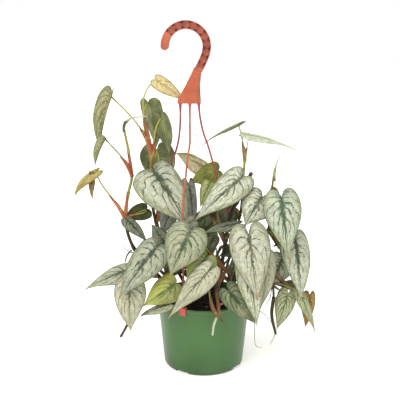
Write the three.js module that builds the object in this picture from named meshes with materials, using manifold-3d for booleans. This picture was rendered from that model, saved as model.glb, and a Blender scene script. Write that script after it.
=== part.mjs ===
// A silver leaf philodendron in a green nursery pot with a hook hanger.
// Millimetres, +Z up. The origin is the middle of the pot's foot, on the ground.
// +X is the right of the plant's best side, which faces -Y.
import * as THREE from 'three';
import { mergeVertices } from 'three/addons/utils/BufferGeometryUtils.js';
import Module from 'manifold-3d';

const wasm = await Module();
wasm.setup();

// Driving dimensions

const GAP = 0.3; // clearance between two pieces that touch on the real plant

const POT = {
  height: 115,
  rimRadius: 77.5,
  footRadius: 66,
  footCorner: 5,
  wall: 1.8,
  rimWall: 2.6,
  rimHeight: 5,
  rimCorner: 0.8,
  rimLedge: 1, // height over which the thick rim slopes in to the wall
  floor: 2.4,
  sides: 36,
  notches: 4,
  firstNotch: -123, // degrees round from +X
  notchWidth: 24,
  notchHeight: 5,
  notchDepth: 11,
};

const SOIL = {
  top: 101,
  crown: 3, // how much higher the middle is than the edge
  shoulder: 3, // how far down the edge is rounded off
  rings: [0.97, 0.75, 0.5, 0.25, 0], // shares of the radius where the top has a ring of points
  lump: 1.2,
  lumpWaves: [0.21, 0.17], // radians per millimetre along X and Y
  sides: 20,
};

const HOOK = {
  middle: [-28, 518], // x and z of the round part's centre
  radius: 32.5, // to the middle of the band
  width: 13,
  webWidth: 12.6,
  webDepth: 2.4,
  rail: 1.8,
  railDepth: 8,
  railStart: 0.02, // share of the band's length where the rails begin
  rib: 1.7,
  ribDepth: 6.8,
  plainWidth: 12.8,
  plainDepth: 6.5,
  tipRadius: 5.9,
  tipAngle: 190, // degrees, where the round part ends
  plainAngle: 142, // the band is solid from here to the tip
  openAngle: -6, // where the round part turns into the neck
  angleStep: 7,
  neck: [[2.6, 506], [-2.4, 494], [-8.5, 482]],
  cellLength: 11.5,
  steps: 18,
  plainSteps: 8,
};

// The flat plate under the hook. Its outline is in x and in height over its foot.
const PLATE = {
  foot: 430,
  depth: 4.4,
  outline: [[-15, 54], [-41.5, 6], [-41.5, 0], [-4.5, 0], [-5.5, 30], [-3, 54]],
};

const STRAND = {
  radius: 1.6,
  topRadius: 2.8,
  flare: 16, // length over which the top of a strand tapers
  sides: 6,
  steps: 16,
  clipWidth: 11,
  clipDrop: 15, // how far the clip reaches down outside the rim
  clipHold: 8, // and inside it
  clipThickness: 2,
};

// Each strand hangs from the plate's foot and ends in a clip that sits over the pot's rim.
// `angle` is where that clip is, in degrees round from +X.
const STRANDS = {
  front: {
    angle: -115,
    from: [-22, 0],
    through: [[-22, -3, 399], [-22, -10, 370], [-25, -18, 349], [-28, -30, 321], [-33, -50, 254]],
  },
  right: {
    angle: 5,
    from: [-8, 0],
    through: [[-6, 0, 410], [-1, 1, 386], [8, 3, 360], [15, 4, 335], [21, 5, 313], [42, 6, 245]],
  },
  back_left: {
    angle: 135,
    from: [-37, 0],
    through: [[-37, 1, 410], [-38, 4, 391], [-41, 8, 369], [-47, 12, 348], [-52, 16, 334], [-55, 34, 240]],
  },
};

const BLADE = {
  thickness: 0.8,
  rows: 7, // from the notch at the stalk round to the tip
  columns: 4, // from one edge to the other
  midribPower: 2.2, // crowds the side veins towards the stalk
  veinPower: 1.25, // sweeps each side vein forwards
  tailPower: 6, // how suddenly the drawn-out tip begins
};

// What a leaf has unless its own line in the table says otherwise
const USUAL_LEAF = {
  bend: 18, // degrees that the midrib curls down from stalk to tip
  fold: 0.22, // slope of each half beside the sunken midrib
  arch: 0.42, // how far each half curls down again towards its edge
  tail: 0.06, // share of the length that the drawn-out tip adds
  lobe: 1, // size of the two back lobes
  tone: 'silver',
};

const STALK = {
  tipRadius: 1.25,
  neckRadius: 1.5,
  sheathRadius: 2.7,
  sheathEndRadius: 1.8,
  sheathShare: 0.5, // of the stalk's length that is wrapped in a sheath
  alongStem: 0.8, // how far the stalk's start follows the stem, against heading for its blade
  handle: 0.38, // share of the distance that each end of the stalk runs before it bends
  lift: 0.4, // how far the stalk's end turns up, against meeting the blade squarely
  sides: 4,
  steps: 5,
  sunk: 2, // how far a stalk's root sits inside the stem
};

const STEM = { sides: 5, stepsPerNode: 2 };

const COLOUR = {
  pot: 0x4d8a52,
  soil: 0x1c1512,
  hanger: 0xc4532f,
  silver: 0xa9b59b,
  pale: 0xbcc6a0,
  green: 0x5f7350,
  yellow: 0xc9b878,
  stem: 0xb5603a,
  bark: 0x4a3a28,
};

// One half of a leaf's outline, from the notch at its stalk, round the back lobe, to its drawn-out tip.
// x is a share of the half width, y a share of the length.
const HALF_OUTLINE = new THREE.SplineCurve([
  [0.06, -0.05],
  [0.28, -0.15],
  [0.62, -0.15],
  [0.92, -0.02],
  [1, 0.2],
  [0.88, 0.44],
  [0.58, 0.67],
  [0.25, 0.85],
  [0.07, 0.95],
  [0.012, 1],
].map((p) => new THREE.Vector2(...p)));

// The plant. Each vine has the points that its stem runs through, from below the soil up, and its leaves.
// A leaf grows from the stem's point number `node`. Its blade runs from `base`, where the stalk meets it,
// to `tip`, and its upper side looks along `face`. `leave` and `arrive` set a stalk's directions by hand.
const VINES = {
  left: {
    radius: [3.1, 1.7],
    colour: 'bark',
    route: [
      [-34, -6, 74], [-40, -8, 112], [-74, -16, 152], [-112, -22, 200], [-126, -18, 248],
      [-121, -12, 287], [-115, -7, 317], [-120, -5, 358], [-126, -5, 392],
      [-124, -5, 402],
    ],
    spikes: [{ node: 9, to: [-89, -6, 411], radius: [1.8, 0.8] }],
    leaves: [
      { node: 6, base: [-151, -38, 378], tip: [-167, -46, 337], face: [-0.8, -0.6, 0.2],
        width: 22, fold: 0.9, arch: 0.3, lobe: 0.5 },
      { node: 4, base: [-171, -15, 324], tip: [-205, -25, 284], face: [-0.4, -0.5, 0.8],
        width: 28, bend: 50, tone: 'yellow' },
      { node: 2, base: [-122, -45, 171], tip: [-189, -62, 143], face: [-0.1, -0.8, 0.9],
        width: 36, tail: 0.2, tone: 'pale' },
      { node: 4, base: [-120, -36, 250], tip: [-89, -42, 215], face: [0.2, -0.5, 0.9], width: 26 },
      { node: 4, base: [-92, -5, 262], tip: [-133, 0, 241], face: [0.1, 0.9, 0.4], width: 33,
        lobe: 0.5, tone: 'green' },
    ],
  },
  middle_left: {
    radius: [3, 2.4],
    colour: 'stem',
    route: [
      [-20, 8, 74], [-24, 10, 112], [-52, 12, 170], [-78, 10, 235], [-86, 8, 291], [-84, 12, 330],
    ],
    leaves: [
      { node: 5, base: [-144, -10, 441], tip: [-163, -18, 358], face: [-0.78, -0.62, 0.1],
        width: 40, fold: 0.9, arch: 0.3, leave: [0.05, 0, 1] },
      { node: 5, base: [-76, 18, 467], tip: [-28, 16, 432], face: [0.3, -0.9, 0.4], width: 30, tone: 'yellow',
        lobe: 0.5, arrive: [0.8, 0, 0.5] },
      { node: 5, base: [-91, 40, 429], tip: [-80, 48, 352], face: [0.6, 0.8, 0.2], width: 48,
        fold: 0.5, arch: 0.3, lobe: 0.6, tone: 'green' },
      { node: 5, base: [-69, 28, 406], tip: [-57, 32, 347], face: [0.6, 0.8, 0.2], width: 40, tone: 'green' },
      { node: 4, base: [-78, 50, 351], tip: [-67, 46, 279], face: [0.1, 0.8, 0.3], width: 60, tone: 'green' },
      { node: 4, base: [-79, -22, 325], tip: [-24, -36, 237], face: [0.6, -0.8, 0.6], width: 90,
        lobe: 0.6 },
      { node: 3, base: [-77, 74, 308], tip: [-71, 98, 237], face: [-0.2, 1, 0.3],
        width: 52, leave: [0, 1, 0.2] },
      { node: 3, base: [-24, 14, 297], tip: [-19, 1, 224], face: [0.75, -0.66, 0.2], width: 38 },
    ],
  },
  tall_right: {
    radius: [2.4, 1.9],
    colour: 'stem',
    route: [
      [24, 6, 74], [26, 8, 112], [44, 10, 180], [60, 10, 249], [64, 14, 298], [67, 18, 339],
    ],
    leaves: [
      { node: 5, base: [56, 22, 397], tip: [-12, 14, 355], face: [0.1, 0.25, 1], width: 26, tail: 0.25 },
      { node: 5, base: [73, 18, 379], tip: [157, 8, 351], face: [0.1, -0.1, 1],
        width: 30, tail: 0.3, tone: 'pale' },
      { node: 4, base: [59, -30, 317], tip: [-15, -48, 251], face: [-0.1, -1, 0.6],
        width: 52, tail: 0.12, lobe: 0.7 },
      { node: 2, base: [2, 46, 321], tip: [-49, 50, 347], face: [0.15, -0.5, 0.8], width: 44,
        lobe: 0.3, tone: 'yellow', leave: [-0.3, 0.55, 0.8] },
      { node: 3, base: [42, 58, 248], tip: [-4, 72, 194], face: [0.1, 1, 0.3], width: 50, tone: 'green' },
    ],
  },
  cut: {
    radius: [3.4, 3],
    colour: 'bark',
    route: [
      [16, -14, 74], [18, -14, 112], [28, -10, 160], [36, -5, 210], [44, -5, 252], [63, -5, 293],
      [77, -5, 322],
    ],
    leaves: [
      { node: 3, base: [24, 34, 319], tip: [-23, 28, 298], face: [-0.3, 0.7, 0.3], width: 50, tone: 'green',
        lobe: 0.6, leave: [-0.6, 0.3, 1] },
      { node: 4, base: [48, 32, 273], tip: [7, 38, 236], face: [0.2, 0.8, 0.4], width: 32, tone: 'green' },
      { node: 3, base: [54, -35, 244], tip: [-2, -52, 232], face: [0.05, -0.35, 1], width: 30 },
      { node: 5, base: [91, -38, 288], tip: [64, -50, 244], face: [-0.1, -1, 0.5], width: 58 },
    ],
  },
  right: {
    radius: [2.6, 1.6],
    colour: 'stem',
    route: [
      [44, -2, 74], [48, -4, 112], [80, -10, 165], [104, -15, 229], [108, -20, 296], [111, -20, 324],
    ],
    spikes: [{ node: 5, to: [122, -20, 355], radius: [2.4, 0.7] }],
    leaves: [
      { node: 4, base: [118, -62, 289], tip: [128, -86, 199], face: [-0.1, -1, 0.35], width: 58, tail: 0.16 },
      { node: 3, base: [144, -38, 219], tip: [151, -70, 130], face: [0.3, -1, 0.3], width: 50 },
      { node: 3, base: [127, -21, 182], tip: [107, -33, 136], face: [-0.2, -1, 0.3], width: 46 },
      { node: 4, base: [134, 38, 268], tip: [145, 66, 188], face: [0.3, 1, 0.3], width: 50 },
    ],
  },
  front: {
    radius: [3, 2.6],
    colour: 'stem',
    route: [
      [26, -22, 74], [30, -26, 112], [41, -40, 150], [36, -56, 173], [25, -71, 163], [20, -84, 146],
      [22, -91, 130], [23, -93, 112],
    ],
    spikes: [
      { node: 3, to: [34, -60, 186], radius: [2.6, 1.6] },
      { node: 7, to: [14, -93, 72], radius: [1.8, 1.2] },
      { node: 7, to: [39, -91, 82], radius: [1.2, 0.6] },
    ],
    leaves: [
      { node: 3, base: [-21, -80, 242], tip: [-51, -100, 179], face: [0, -1, 0.4], width: 64 },
      { node: 4, base: [3, -76, 201], tip: [-27, -92, 159], face: [0.1, -1, 0.5], width: 44 },
      { node: 7, base: [6, -95, 184], tip: [-54, -112, 116], face: [-0.2, -1, 0.5], width: 40, tail: 0.2 },
      { node: 6, base: [38, -86, 151], tip: [79, -98, 102], face: [0.1, -1, 0.4], width: 38, tone: 'green' },
    ],
  },
  low_right: {
    radius: [2.8, 1.8],
    colour: 'bark',
    route: [
      [40, -18, 74], [44, -22, 112], [66, -34, 165], [84, -42, 200], [104, -48, 178], [110, -46, 146],
      [112, -44, 124],
    ],
    spikes: [{ node: 6, to: [116, -48, 66], radius: [3, 1.8] }],
    leaves: [
      { node: 3, base: [67, -86, 240], tip: [80, -107, 143], face: [0, -1, 0.4], width: 62 },
      { node: 2, base: [67, -80, 195], tip: [80, -106, 103], face: [0, -1, 0.3], width: 44 },
      { node: 3, base: [96, -60, 196], tip: [88, -82, 122], face: [0.3, -1, 0.3], width: 40, tone: 'pale' },
      { node: 4, base: [158, -12, 137], tip: [115, -18, 137], face: [0, 0.9, 0.5], width: 26, tone: 'green' },
      { node: 5, base: [134, -46, 132], tip: [115, -64, 79], face: [0, -1, 0.3], width: 32, tone: 'pale',
        leave: [0.3, 0.8, -0.3] },
      { node: 5, base: [151, -56, 137], tip: [175, -72, 76], face: [0.4, -0.7, 0.6],
        width: 22, tail: 0.15, tone: 'pale', leave: [0.5, -0.3, 1], arrive: [0.5, -0.85, 0.05] },
      { node: 4, base: [171, -34, 124], tip: [163, -44, 74], face: [0.6, -1, 0.3],
        width: 30, tone: 'yellow' },
    ],
  },
  low_left: {
    radius: [2.8, 2],
    colour: 'bark',
    route: [
      [-30, -26, 74], [-34, -30, 112], [-58, -48, 160], [-84, -58, 180], [-104, -66, 140], [-116, -74, 100],
      [-130, -80, 73],
    ],
    leaves: [
      { node: 3, base: [-75, -68, 212], tip: [-127, -107, 146], face: [-0.3, -1, 0.4], width: 54 },
      { node: 4, base: [-114, -84, 160], tip: [-111, -102, 92], face: [-0.15, -1, 0.5],
        width: 50, tone: 'pale' },
      { node: 2, base: [-43, -72, 158], tip: [-93, -88, 127], face: [0, -1, 0.5], width: 46, lobe: 0.5,
        tone: 'yellow' },
      { node: 1, base: [-55, -82, 127], tip: [-101, -88, 109], face: [0, -0.15, 1], width: 30,
        leave: [-0.3, -0.4, 1] },
    ],
  },
  back: {
    radius: [3, 2.4],
    colour: 'bark',
    route: [[2, 36, 74], [4, 38, 112], [16, 52, 150], [30, 58, 180]],
    leaves: [
      { node: 1, base: [-93, 55, 185], tip: [-111, 85, 108], face: [-0.3, 1, 0.4], width: 46 },
      { node: 2, base: [-38, 70, 198], tip: [-32, 98, 123], face: [0, 1, 0.4], width: 50 },
      { node: 2, base: [2, 84, 204], tip: [2, 108, 122], face: [0.1, 1, 0.3], width: 50 },
      { node: 3, base: [82, 68, 187], tip: [93, 100, 96], face: [0.2, 1, 0.4], width: 52 },
    ],
  },
};

// Solids

const vector = (p) => new THREE.Vector3(...p);
const radians = THREE.MathUtils.degToRad;

function solidOf(geometry) {
  const bare = geometry.clone();
  for (const name of Object.keys(bare.attributes)) {
    if (name !== 'position') bare.deleteAttribute(name);
  }
  const merged = mergeVertices(bare, 1e-4);
  return new wasm.Manifold(new wasm.Mesh({
    numProp: 3,
    vertProperties: merged.attributes.position.array,
    triVerts: new Uint32Array(merged.index.array),
  }));
}

function geometryOf(solid) {
  const mesh = solid.getMesh();
  return new THREE.BufferGeometry()
    .setAttribute('position', new THREE.BufferAttribute(mesh.vertProperties, 3))
    .setIndex(new THREE.BufferAttribute(mesh.triVerts, 1));
}

function piece(name, geometry, colour, roughness = 0.6) {
  geometry.computeVertexNormals();
  const material = new THREE.MeshStandardMaterial({ color: colour, roughness, metalness: 0 });
  const mesh = new THREE.Mesh(geometry, material);
  mesh.name = name;
  return mesh;
}

// A closed round bar along a curve. radiusAt takes the share of the curve's length, from 0 to 1.
function bar(curve, radiusAt, sides, steps) {
  const geometry = new THREE.CylinderGeometry(1, 1, 1, sides, steps);
  const frames = curve.computeFrenetFrames(steps, false);
  const position = geometry.attributes.position;
  const point = new THREE.Vector3();
  for (let i = 0; i < position.count; i++) {
    point.fromBufferAttribute(position, i);
    const ring = Math.round((0.5 - point.y) * steps);
    const radius = radiusAt(ring / steps);
    const placed = curve.getPointAt(ring / steps)
      .addScaledVector(frames.normals[ring], point.x * radius)
      .addScaledVector(frames.binormals[ring], point.z * radius);
    position.setXYZ(i, placed.x, placed.y, placed.z);
  }
  return geometry;
}

const spline = (points) => new THREE.CatmullRomCurve3(points.map(vector), false, 'catmullrom', 0.5);

// A stem's middle line. Its shares run evenly from one point of the route to the next, so that a ring of
// the stem lies on each point that a stalk grows from.
class StemCurve extends THREE.CatmullRomCurve3 {
  constructor(route) {
    super(route.map(vector), false, 'catmullrom', 0.5);
  }

  getUtoTmapping(share) {
    return share;
  }
}

const taper = ([from, to]) => (share) => from + (to - from) * share;

// Pot and soil

// The pot's outer and inner radius at a height. Its wall leans outwards.
const outerAt = (z) => POT.footRadius + ((POT.rimRadius - POT.footRadius) * z) / POT.height;
const innerAt = (z) => outerAt(z) - POT.wall;

function potProfile() {
  const { height, rimRadius, footRadius, footCorner, wall, rimWall, rimCorner, floor } = POT;
  const rimFoot = height - POT.rimHeight;
  const wallTop = rimFoot - POT.rimLedge;
  const corner = [0, 30, 60, 90].map((angle) => [
    footRadius - footCorner + footCorner * Math.sin(radians(angle)),
    footCorner - footCorner * Math.cos(radians(angle)),
  ]);
  return [
    [0, 0],
    ...corner,
    [rimRadius, height - rimCorner],
    [rimRadius - rimCorner, height],
    [rimRadius - rimWall, height],
    [rimRadius - rimWall, rimFoot],
    [innerAt(wallTop), wallTop],
    [innerAt(floor + footCorner), floor + footCorner],
    [footRadius - footCorner - wall / 2, floor],
    [0, floor],
  ].map((p) => new THREE.Vector2(...p));
}

// LatheGeometry turns its profile round Y, so the result is stood up on Z.
const lathe = (profile, sides) => new THREE.LatheGeometry(profile, sides).rotateX(Math.PI / 2);

function buildPot() {
  let pot = solidOf(lathe(potProfile(), POT.sides));
  for (let i = 0; i < POT.notches; i++) {
    const notch = new THREE.BoxGeometry(2 * POT.notchDepth, POT.notchWidth, 2 * POT.notchHeight)
      .translate(POT.footRadius, 0, 0)
      .rotateZ(radians(POT.firstNotch + (360 / POT.notches) * i));
    pot = pot.subtract(solidOf(notch));
  }
  return piece('pot', geometryOf(pot), COLOUR.pot, 0.45);
}

// The soil fills the pot, crowned and lumpy on top, with a plain hole for each stem.
function buildSoil(stemCurves) {
  const low = POT.floor + GAP;
  const bend = POT.floor + POT.footCorner;
  const shoulder = SOIL.top - SOIL.shoulder;
  const top = SOIL.rings.map((share) => [
    (innerAt(SOIL.top) - GAP) * share,
    SOIL.top + SOIL.crown * (1 - share * share),
  ]);
  const profile = [
    [0, low],
    [POT.footRadius - POT.footCorner - POT.wall / 2 - GAP, low],
    [innerAt(bend) - GAP, bend],
    [innerAt(shoulder) - GAP, shoulder],
    ...top,
  ].map((p) => new THREE.Vector2(...p));
  const geometry = lathe(profile, SOIL.sides);
  const position = geometry.attributes.position;
  const [waveX, waveY] = SOIL.lumpWaves;
  for (let i = 0; i < position.count; i++) {
    const [x, y, z] = [position.getX(i), position.getY(i), position.getZ(i)];
    if (z < SOIL.top) continue;
    position.setZ(i, z + SOIL.lump * Math.sin(waveX * x + 1) * Math.cos(waveY * y));
  }
  let soil = solidOf(geometry);
  for (const { curve, radius } of stemCurves) {
    const hole = bar(curve, (share) => taper(radius)(share) + GAP, STEM.sides, stemSteps(curve));
    soil = soil.subtract(solidOf(hole));
  }
  return piece('soil', geometryOf(soil), COLOUR.soil, 0.95);
}

// Hanger

// A flat rectangular bar along a plane curve in XZ, `width` across it and `depth` front to back.
function band(points, width, depth) {
  const left = [];
  const right = [];
  points.forEach(([x, z], i) => {
    const before = points[Math.max(i - 1, 0)];
    const after = points[Math.min(i + 1, points.length - 1)];
    const along = new THREE.Vector2(after[0] - before[0], after[1] - before[1]).normalize();
    left.push(new THREE.Vector2(x - (along.y * width) / 2, z + (along.x * width) / 2));
    right.push(new THREE.Vector2(x + (along.y * width) / 2, z - (along.x * width) / 2));
  });
  const outline = new THREE.Shape([...left, ...right.reverse()]);
  return solidOf(upright(outline, depth));
}

// A shape drawn in XZ, made `depth` thick about Y = 0.
function upright(shape, depth) {
  return new THREE.ExtrudeGeometry(shape, { depth, bevelEnabled: false, curveSegments: HOOK.plainSteps })
    .translate(0, 0, -depth / 2)
    .rotateX(Math.PI / 2);
}

// The hook's middle line, from its tip over the top and down to the plate.
function hookLine() {
  const { middle, radius, tipAngle, openAngle, angleStep, neck } = HOOK;
  const round = [];
  for (let angle = tipAngle; angle >= openAngle; angle -= angleStep) {
    const turn = radians(angle);
    round.push([middle[0] + radius * Math.cos(turn), middle[1] + radius * Math.sin(turn)]);
  }
  return new THREE.SplineCurve([...round, ...neck].map((p) => new THREE.Vector2(...p)));
}

// Points beside a line, from one share of its length to another.
function offsetLine(line, offsetAt, from, to, count) {
  const points = [];
  for (let i = 0; i <= count; i++) {
    const share = from + ((to - from) * i) / count;
    const point = line.getPointAt(share);
    const along = line.getTangentAt(share);
    const offset = offsetAt(share);
    points.push([point.x - along.y * offset, point.y + along.x * offset]);
  }
  return points;
}

function buildHook() {
  const line = hookLine();
  const length = line.getLength();
  const { width, rail, railDepth, railStart, rib, ribDepth, plainDepth, steps, plainSteps } = HOOK;
  const plainShare = (radians(HOOK.tipAngle - HOOK.plainAngle) * HOOK.radius) / length;
  const cells = Math.round((length * (1 - plainShare)) / HOOK.cellLength);
  const wave = (side) => (share) => {
    const cell = ((share - plainShare) / (1 - plainShare)) * cells;
    return side * (width / 2 - rail) * Math.sin(Math.PI * cell);
  };
  const edge = (side) => () => side * (width / 2 - rail / 2);
  const middle = () => 0;
  const tip = line.getPointAt(0);
  const round = new THREE.Shape().absarc(tip.x, tip.y, HOOK.tipRadius, 0, 2 * Math.PI);
  const plate = new THREE.Shape(PLATE.outline.map(([x, rise]) => new THREE.Vector2(x, PLATE.foot + rise)));
  const parts = [
    band(offsetLine(line, middle, 0, 1, steps), HOOK.webWidth, HOOK.webDepth),
    band(offsetLine(line, middle, 0, plainShare, plainSteps), HOOK.plainWidth, plainDepth),
    solidOf(upright(round, plainDepth)),
    solidOf(upright(plate, PLATE.depth)),
  ];
  for (const side of [-1, 1]) {
    parts.push(band(offsetLine(line, edge(side), railStart, 1, steps), rail, railDepth));
    parts.push(band(offsetLine(line, wave(side), plainShare, 1, cells * 2), rib, ribDepth));
  }
  return piece('hanger_hook', geometryOf(wasm.Manifold.union(parts)), COLOUR.hanger, 0.4);
}

function buildStrand(name, { angle, from, through }) {
  const { radius, topRadius, flare, sides, steps, clipWidth, clipThickness } = STRAND;
  const inner = POT.rimRadius - POT.rimWall - 2 * GAP;
  const outer = POT.rimRadius + GAP;
  const top = POT.height + GAP;
  const slab = (low, high, zLow, zHigh) => new THREE.BoxGeometry(high - low, clipWidth, zHigh - zLow)
    .translate((low + high) / 2, 0, (zLow + zHigh) / 2)
    .rotateZ(radians(angle));
  const onRim = new THREE.Vector3(inner - clipThickness / 2, 0, top + clipThickness / 2)
    .applyAxisAngle(new THREE.Vector3(0, 0, 1), radians(angle));
  const start = [...from, PLATE.foot - 2 * GAP];
  const curve = spline([start, ...through, onRim.toArray()]);
  const length = curve.getLength();
  const radiusAt = (share) => {
    const down = Math.min((share * length) / flare, 1);
    return topRadius + (radius - topRadius) * down * (2 - down);
  };
  const parts = [
    solidOf(bar(curve, radiusAt, sides, steps)),
    solidOf(slab(outer, outer + clipThickness, POT.height - STRAND.clipDrop, top + clipThickness)),
    solidOf(slab(inner - clipThickness, outer + clipThickness, top, top + clipThickness)),
    solidOf(slab(inner - clipThickness, inner, POT.height - STRAND.clipHold, top + clipThickness)),
  ];
  return piece(`hanger_strand_${name}`, geometryOf(wasm.Manifold.union(parts)), COLOUR.hanger, 0.4);
}

// Leaves

// Where a leaf's surface is. share runs from the stalk to the tip along the outline, side from -1 to 1.
function bladePoint(leaf, length, share, side) {
  const edge = HALF_OUTLINE.getPoint(share);
  const midrib = share ** BLADE.midribPower;
  const across = Math.abs(side) * edge.x * (leaf.width / 2);
  const { fold, arch, bend, tail, lobe } = leaf;
  const reachOf = (y) => (y < 0 ? y * lobe : y * (1 - tail) + tail * y ** BLADE.tailPower);
  const middle = reachOf(midrib);
  const along = length * (middle + Math.abs(side) ** BLADE.veinPower * (reachOf(edge.y) - middle));
  const rise = fold * across - (arch * across * across) / (leaf.width / 2);
  const curl = radians(bend);
  const angle = (along / length) * curl;
  const reach = length / curl + rise;
  return new THREE.Vector3(
    Math.sign(side) * across,
    reach * Math.sin(angle),
    reach * Math.cos(angle) - length / curl,
  );
}

// The blade's length along its midrib, and the matrix that lays it from its base to its tip.
function bladePlace(leaf) {
  const chord = vector(leaf.tip).sub(vector(leaf.base));
  const unitTip = bladePoint(leaf, 1, 1, 0);
  const length = chord.length() / unitTip.length();
  const basis = (along, facing) => {
    const y = along.clone().normalize();
    const z = facing.clone().addScaledVector(y, -facing.dot(y)).normalize();
    return new THREE.Matrix4().makeBasis(y.clone().cross(z), y, z);
  };
  const own = basis(unitTip, new THREE.Vector3(0, 0, 1));
  const matrix = basis(chord, vector(leaf.face))
    .multiply(own.transpose())
    .setPosition(vector(leaf.base));
  return { length, matrix };
}

function buildBlade(name, leaf) {
  const { rows, columns, thickness } = BLADE;
  const { length, matrix } = bladePlace(leaf);
  const points = [];
  for (let row = 0; row <= rows; row++) {
    for (let column = 0; column <= columns; column++) {
      points.push(bladePoint(leaf, length, row / rows, (2 * column) / columns - 1).applyMatrix4(matrix));
    }
  }
  const wide = columns + 1;
  const faces = [];
  for (let row = 0; row < rows; row++) {
    for (let column = 0; column < columns; column++) {
      const a = row * wide + column;
      const [b, c, d] = [a + 1, a + wide, a + wide + 1];
      if (column < columns / 2) faces.push([a, b, c], [b, d, c]);
      else faces.push([a, b, d], [a, d, c]);
    }
  }
  const middle = new THREE.BufferGeometry().setFromPoints(points).setIndex(faces.flat());
  middle.computeVertexNormals();
  const normal = middle.attributes.normal;
  const shift = (side) => points.map((p, i) => p.clone()
    .addScaledVector(new THREE.Vector3().fromBufferAttribute(normal, i), (side * thickness) / 2));
  const count = points.length;
  const rim = [];
  for (let i = 0; i < columns; i++) rim.push([i, i + 1]);
  for (let i = 0; i < rows; i++) rim.push([i * wide + columns, (i + 1) * wide + columns]);
  for (let i = columns; i > 0; i--) rim.push([rows * wide + i, rows * wide + i - 1]);
  for (let i = rows; i > 0; i--) rim.push([i * wide, (i - 1) * wide]);
  const closed = [
    ...faces,
    ...faces.map(([a, b, c]) => [a + count, c + count, b + count]),
    ...rim.flatMap(([a, b]) => [[a, a + count, b], [b, a + count, b + count]]),
  ];
  const geometry = new THREE.BufferGeometry()
    .setFromPoints([...shift(1), ...shift(-1)])
    .setIndex(closed.flat());
  return piece(name, geometry, COLOUR[leaf.tone], 0.5);
}

// Stems and stalks

const stemSteps = (curve) => (curve.points.length - 1) * STEM.stepsPerNode;

// A stalk leaves the stem along it, wrapped in a sheath, and meets its blade from behind.
function stalk(route, leaf) {
  const from = vector(route[leaf.node]);
  const { matrix } = bladePlace(leaf);
  const normal = new THREE.Vector3(0, 0, 1).transformDirection(matrix);
  const arrive = leaf.arrive
    ? vector(leaf.arrive).normalize()
    : normal.clone().add(new THREE.Vector3(0, 0, STALK.lift)).normalize();
  const below = BLADE.thickness / 2 + GAP + STALK.tipRadius * Math.sin(arrive.angleTo(normal));
  const to = vector(leaf.base).addScaledVector(normal, -below);
  const reach = from.distanceTo(to);
  const along = vector(route[Math.min(leaf.node + 1, route.length - 1)]).sub(vector(route[leaf.node - 1]));
  const heading = to.clone().sub(from).normalize();
  const leave = leaf.leave
    ? vector(leaf.leave).normalize()
    : along.setLength(STALK.alongStem).add(heading).normalize();
  const curve = new THREE.CubicBezierCurve3(
    from.clone().addScaledVector(leave, -STALK.sunk),
    from.clone().addScaledVector(leave, reach * STALK.handle),
    to.clone().addScaledVector(arrive, -reach * STALK.handle),
    to,
  );
  const { sheathShare } = STALK;
  const sheath = taper([STALK.sheathRadius, STALK.sheathEndRadius]);
  const bare = taper([STALK.neckRadius, STALK.tipRadius]);
  const radiusAt = (share) => (share > sheathShare
    ? bare((share - sheathShare) / (1 - sheathShare))
    : sheath(share / sheathShare));
  return solidOf(bar(curve, radiusAt, STALK.sides, STALK.steps));
}

function buildVine(name, vine, curve) {
  const steps = stemSteps(curve);
  const parts = [solidOf(bar(curve, taper(vine.radius), STEM.sides, steps))];
  for (const spike of vine.spikes ?? []) {
    const from = vector(vine.route[spike.node]);
    const to = vector(spike.to);
    const root = from.clone().addScaledVector(to.clone().sub(from).normalize(), -STALK.sunk);
    const line = new THREE.LineCurve3(root, to);
    parts.push(solidOf(bar(line, taper(spike.radius), STALK.sides, 1)));
  }
  for (const leaf of vine.leaves) parts.push(stalk(vine.route, leaf));
  return piece(`vine_${name}`, geometryOf(wasm.Manifold.union(parts)), COLOUR[vine.colour], 0.55);
}

// The whole plant

const plant = new THREE.Group();
plant.name = 'potted_philodendron';

const stems = [];
for (const [name, vine] of Object.entries(VINES)) {
  const curve = new StemCurve(vine.route);
  stems.push({ curve, radius: vine.radius });
  vine.leaves = vine.leaves.map((leaf) => ({ ...USUAL_LEAF, ...leaf }));
  plant.add(buildVine(name, vine, curve));
  vine.leaves.forEach((leaf, i) => plant.add(buildBlade(`leaf_${name}_${i + 1}`, leaf)));
}
for (const [name, strand] of Object.entries(STRANDS)) plant.add(buildStrand(name, strand));
plant.add(buildHook(), buildPot(), buildSoil(stems));

export default plant;
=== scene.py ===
"""Potted silver leaf philodendron: a nursery pot on its foot, a hook hanger, nine vines and their leaves.

Every piece is shaped in millimetres in the frame's own axes, and brought to metres when it is finished.
"""

import logging
import math
import random
from collections.abc import Callable, Sequence
from dataclasses import dataclass
from enum import Enum, IntEnum
from functools import lru_cache

import bmesh
import bpy
from mathutils import Matrix, Vector, noise


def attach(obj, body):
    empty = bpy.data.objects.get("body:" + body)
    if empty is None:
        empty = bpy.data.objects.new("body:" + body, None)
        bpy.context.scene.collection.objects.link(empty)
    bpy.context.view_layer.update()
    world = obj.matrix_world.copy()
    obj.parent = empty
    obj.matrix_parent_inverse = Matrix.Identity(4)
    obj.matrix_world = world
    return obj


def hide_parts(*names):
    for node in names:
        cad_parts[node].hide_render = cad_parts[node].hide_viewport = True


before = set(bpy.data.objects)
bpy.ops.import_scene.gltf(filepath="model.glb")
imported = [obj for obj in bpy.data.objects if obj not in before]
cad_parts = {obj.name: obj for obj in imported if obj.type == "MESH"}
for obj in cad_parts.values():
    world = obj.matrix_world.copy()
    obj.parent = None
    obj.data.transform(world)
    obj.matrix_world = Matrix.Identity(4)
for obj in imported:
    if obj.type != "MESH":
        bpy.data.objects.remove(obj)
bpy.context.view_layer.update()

MM = 0.001
BODY = "root"
SEAM = 1e-4
VEIN_SWEEP = 0.27
VEIN_BOW = 1.5
VEIN_STAGGER = 0.22
UP = Vector((0, 0, 1))

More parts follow.
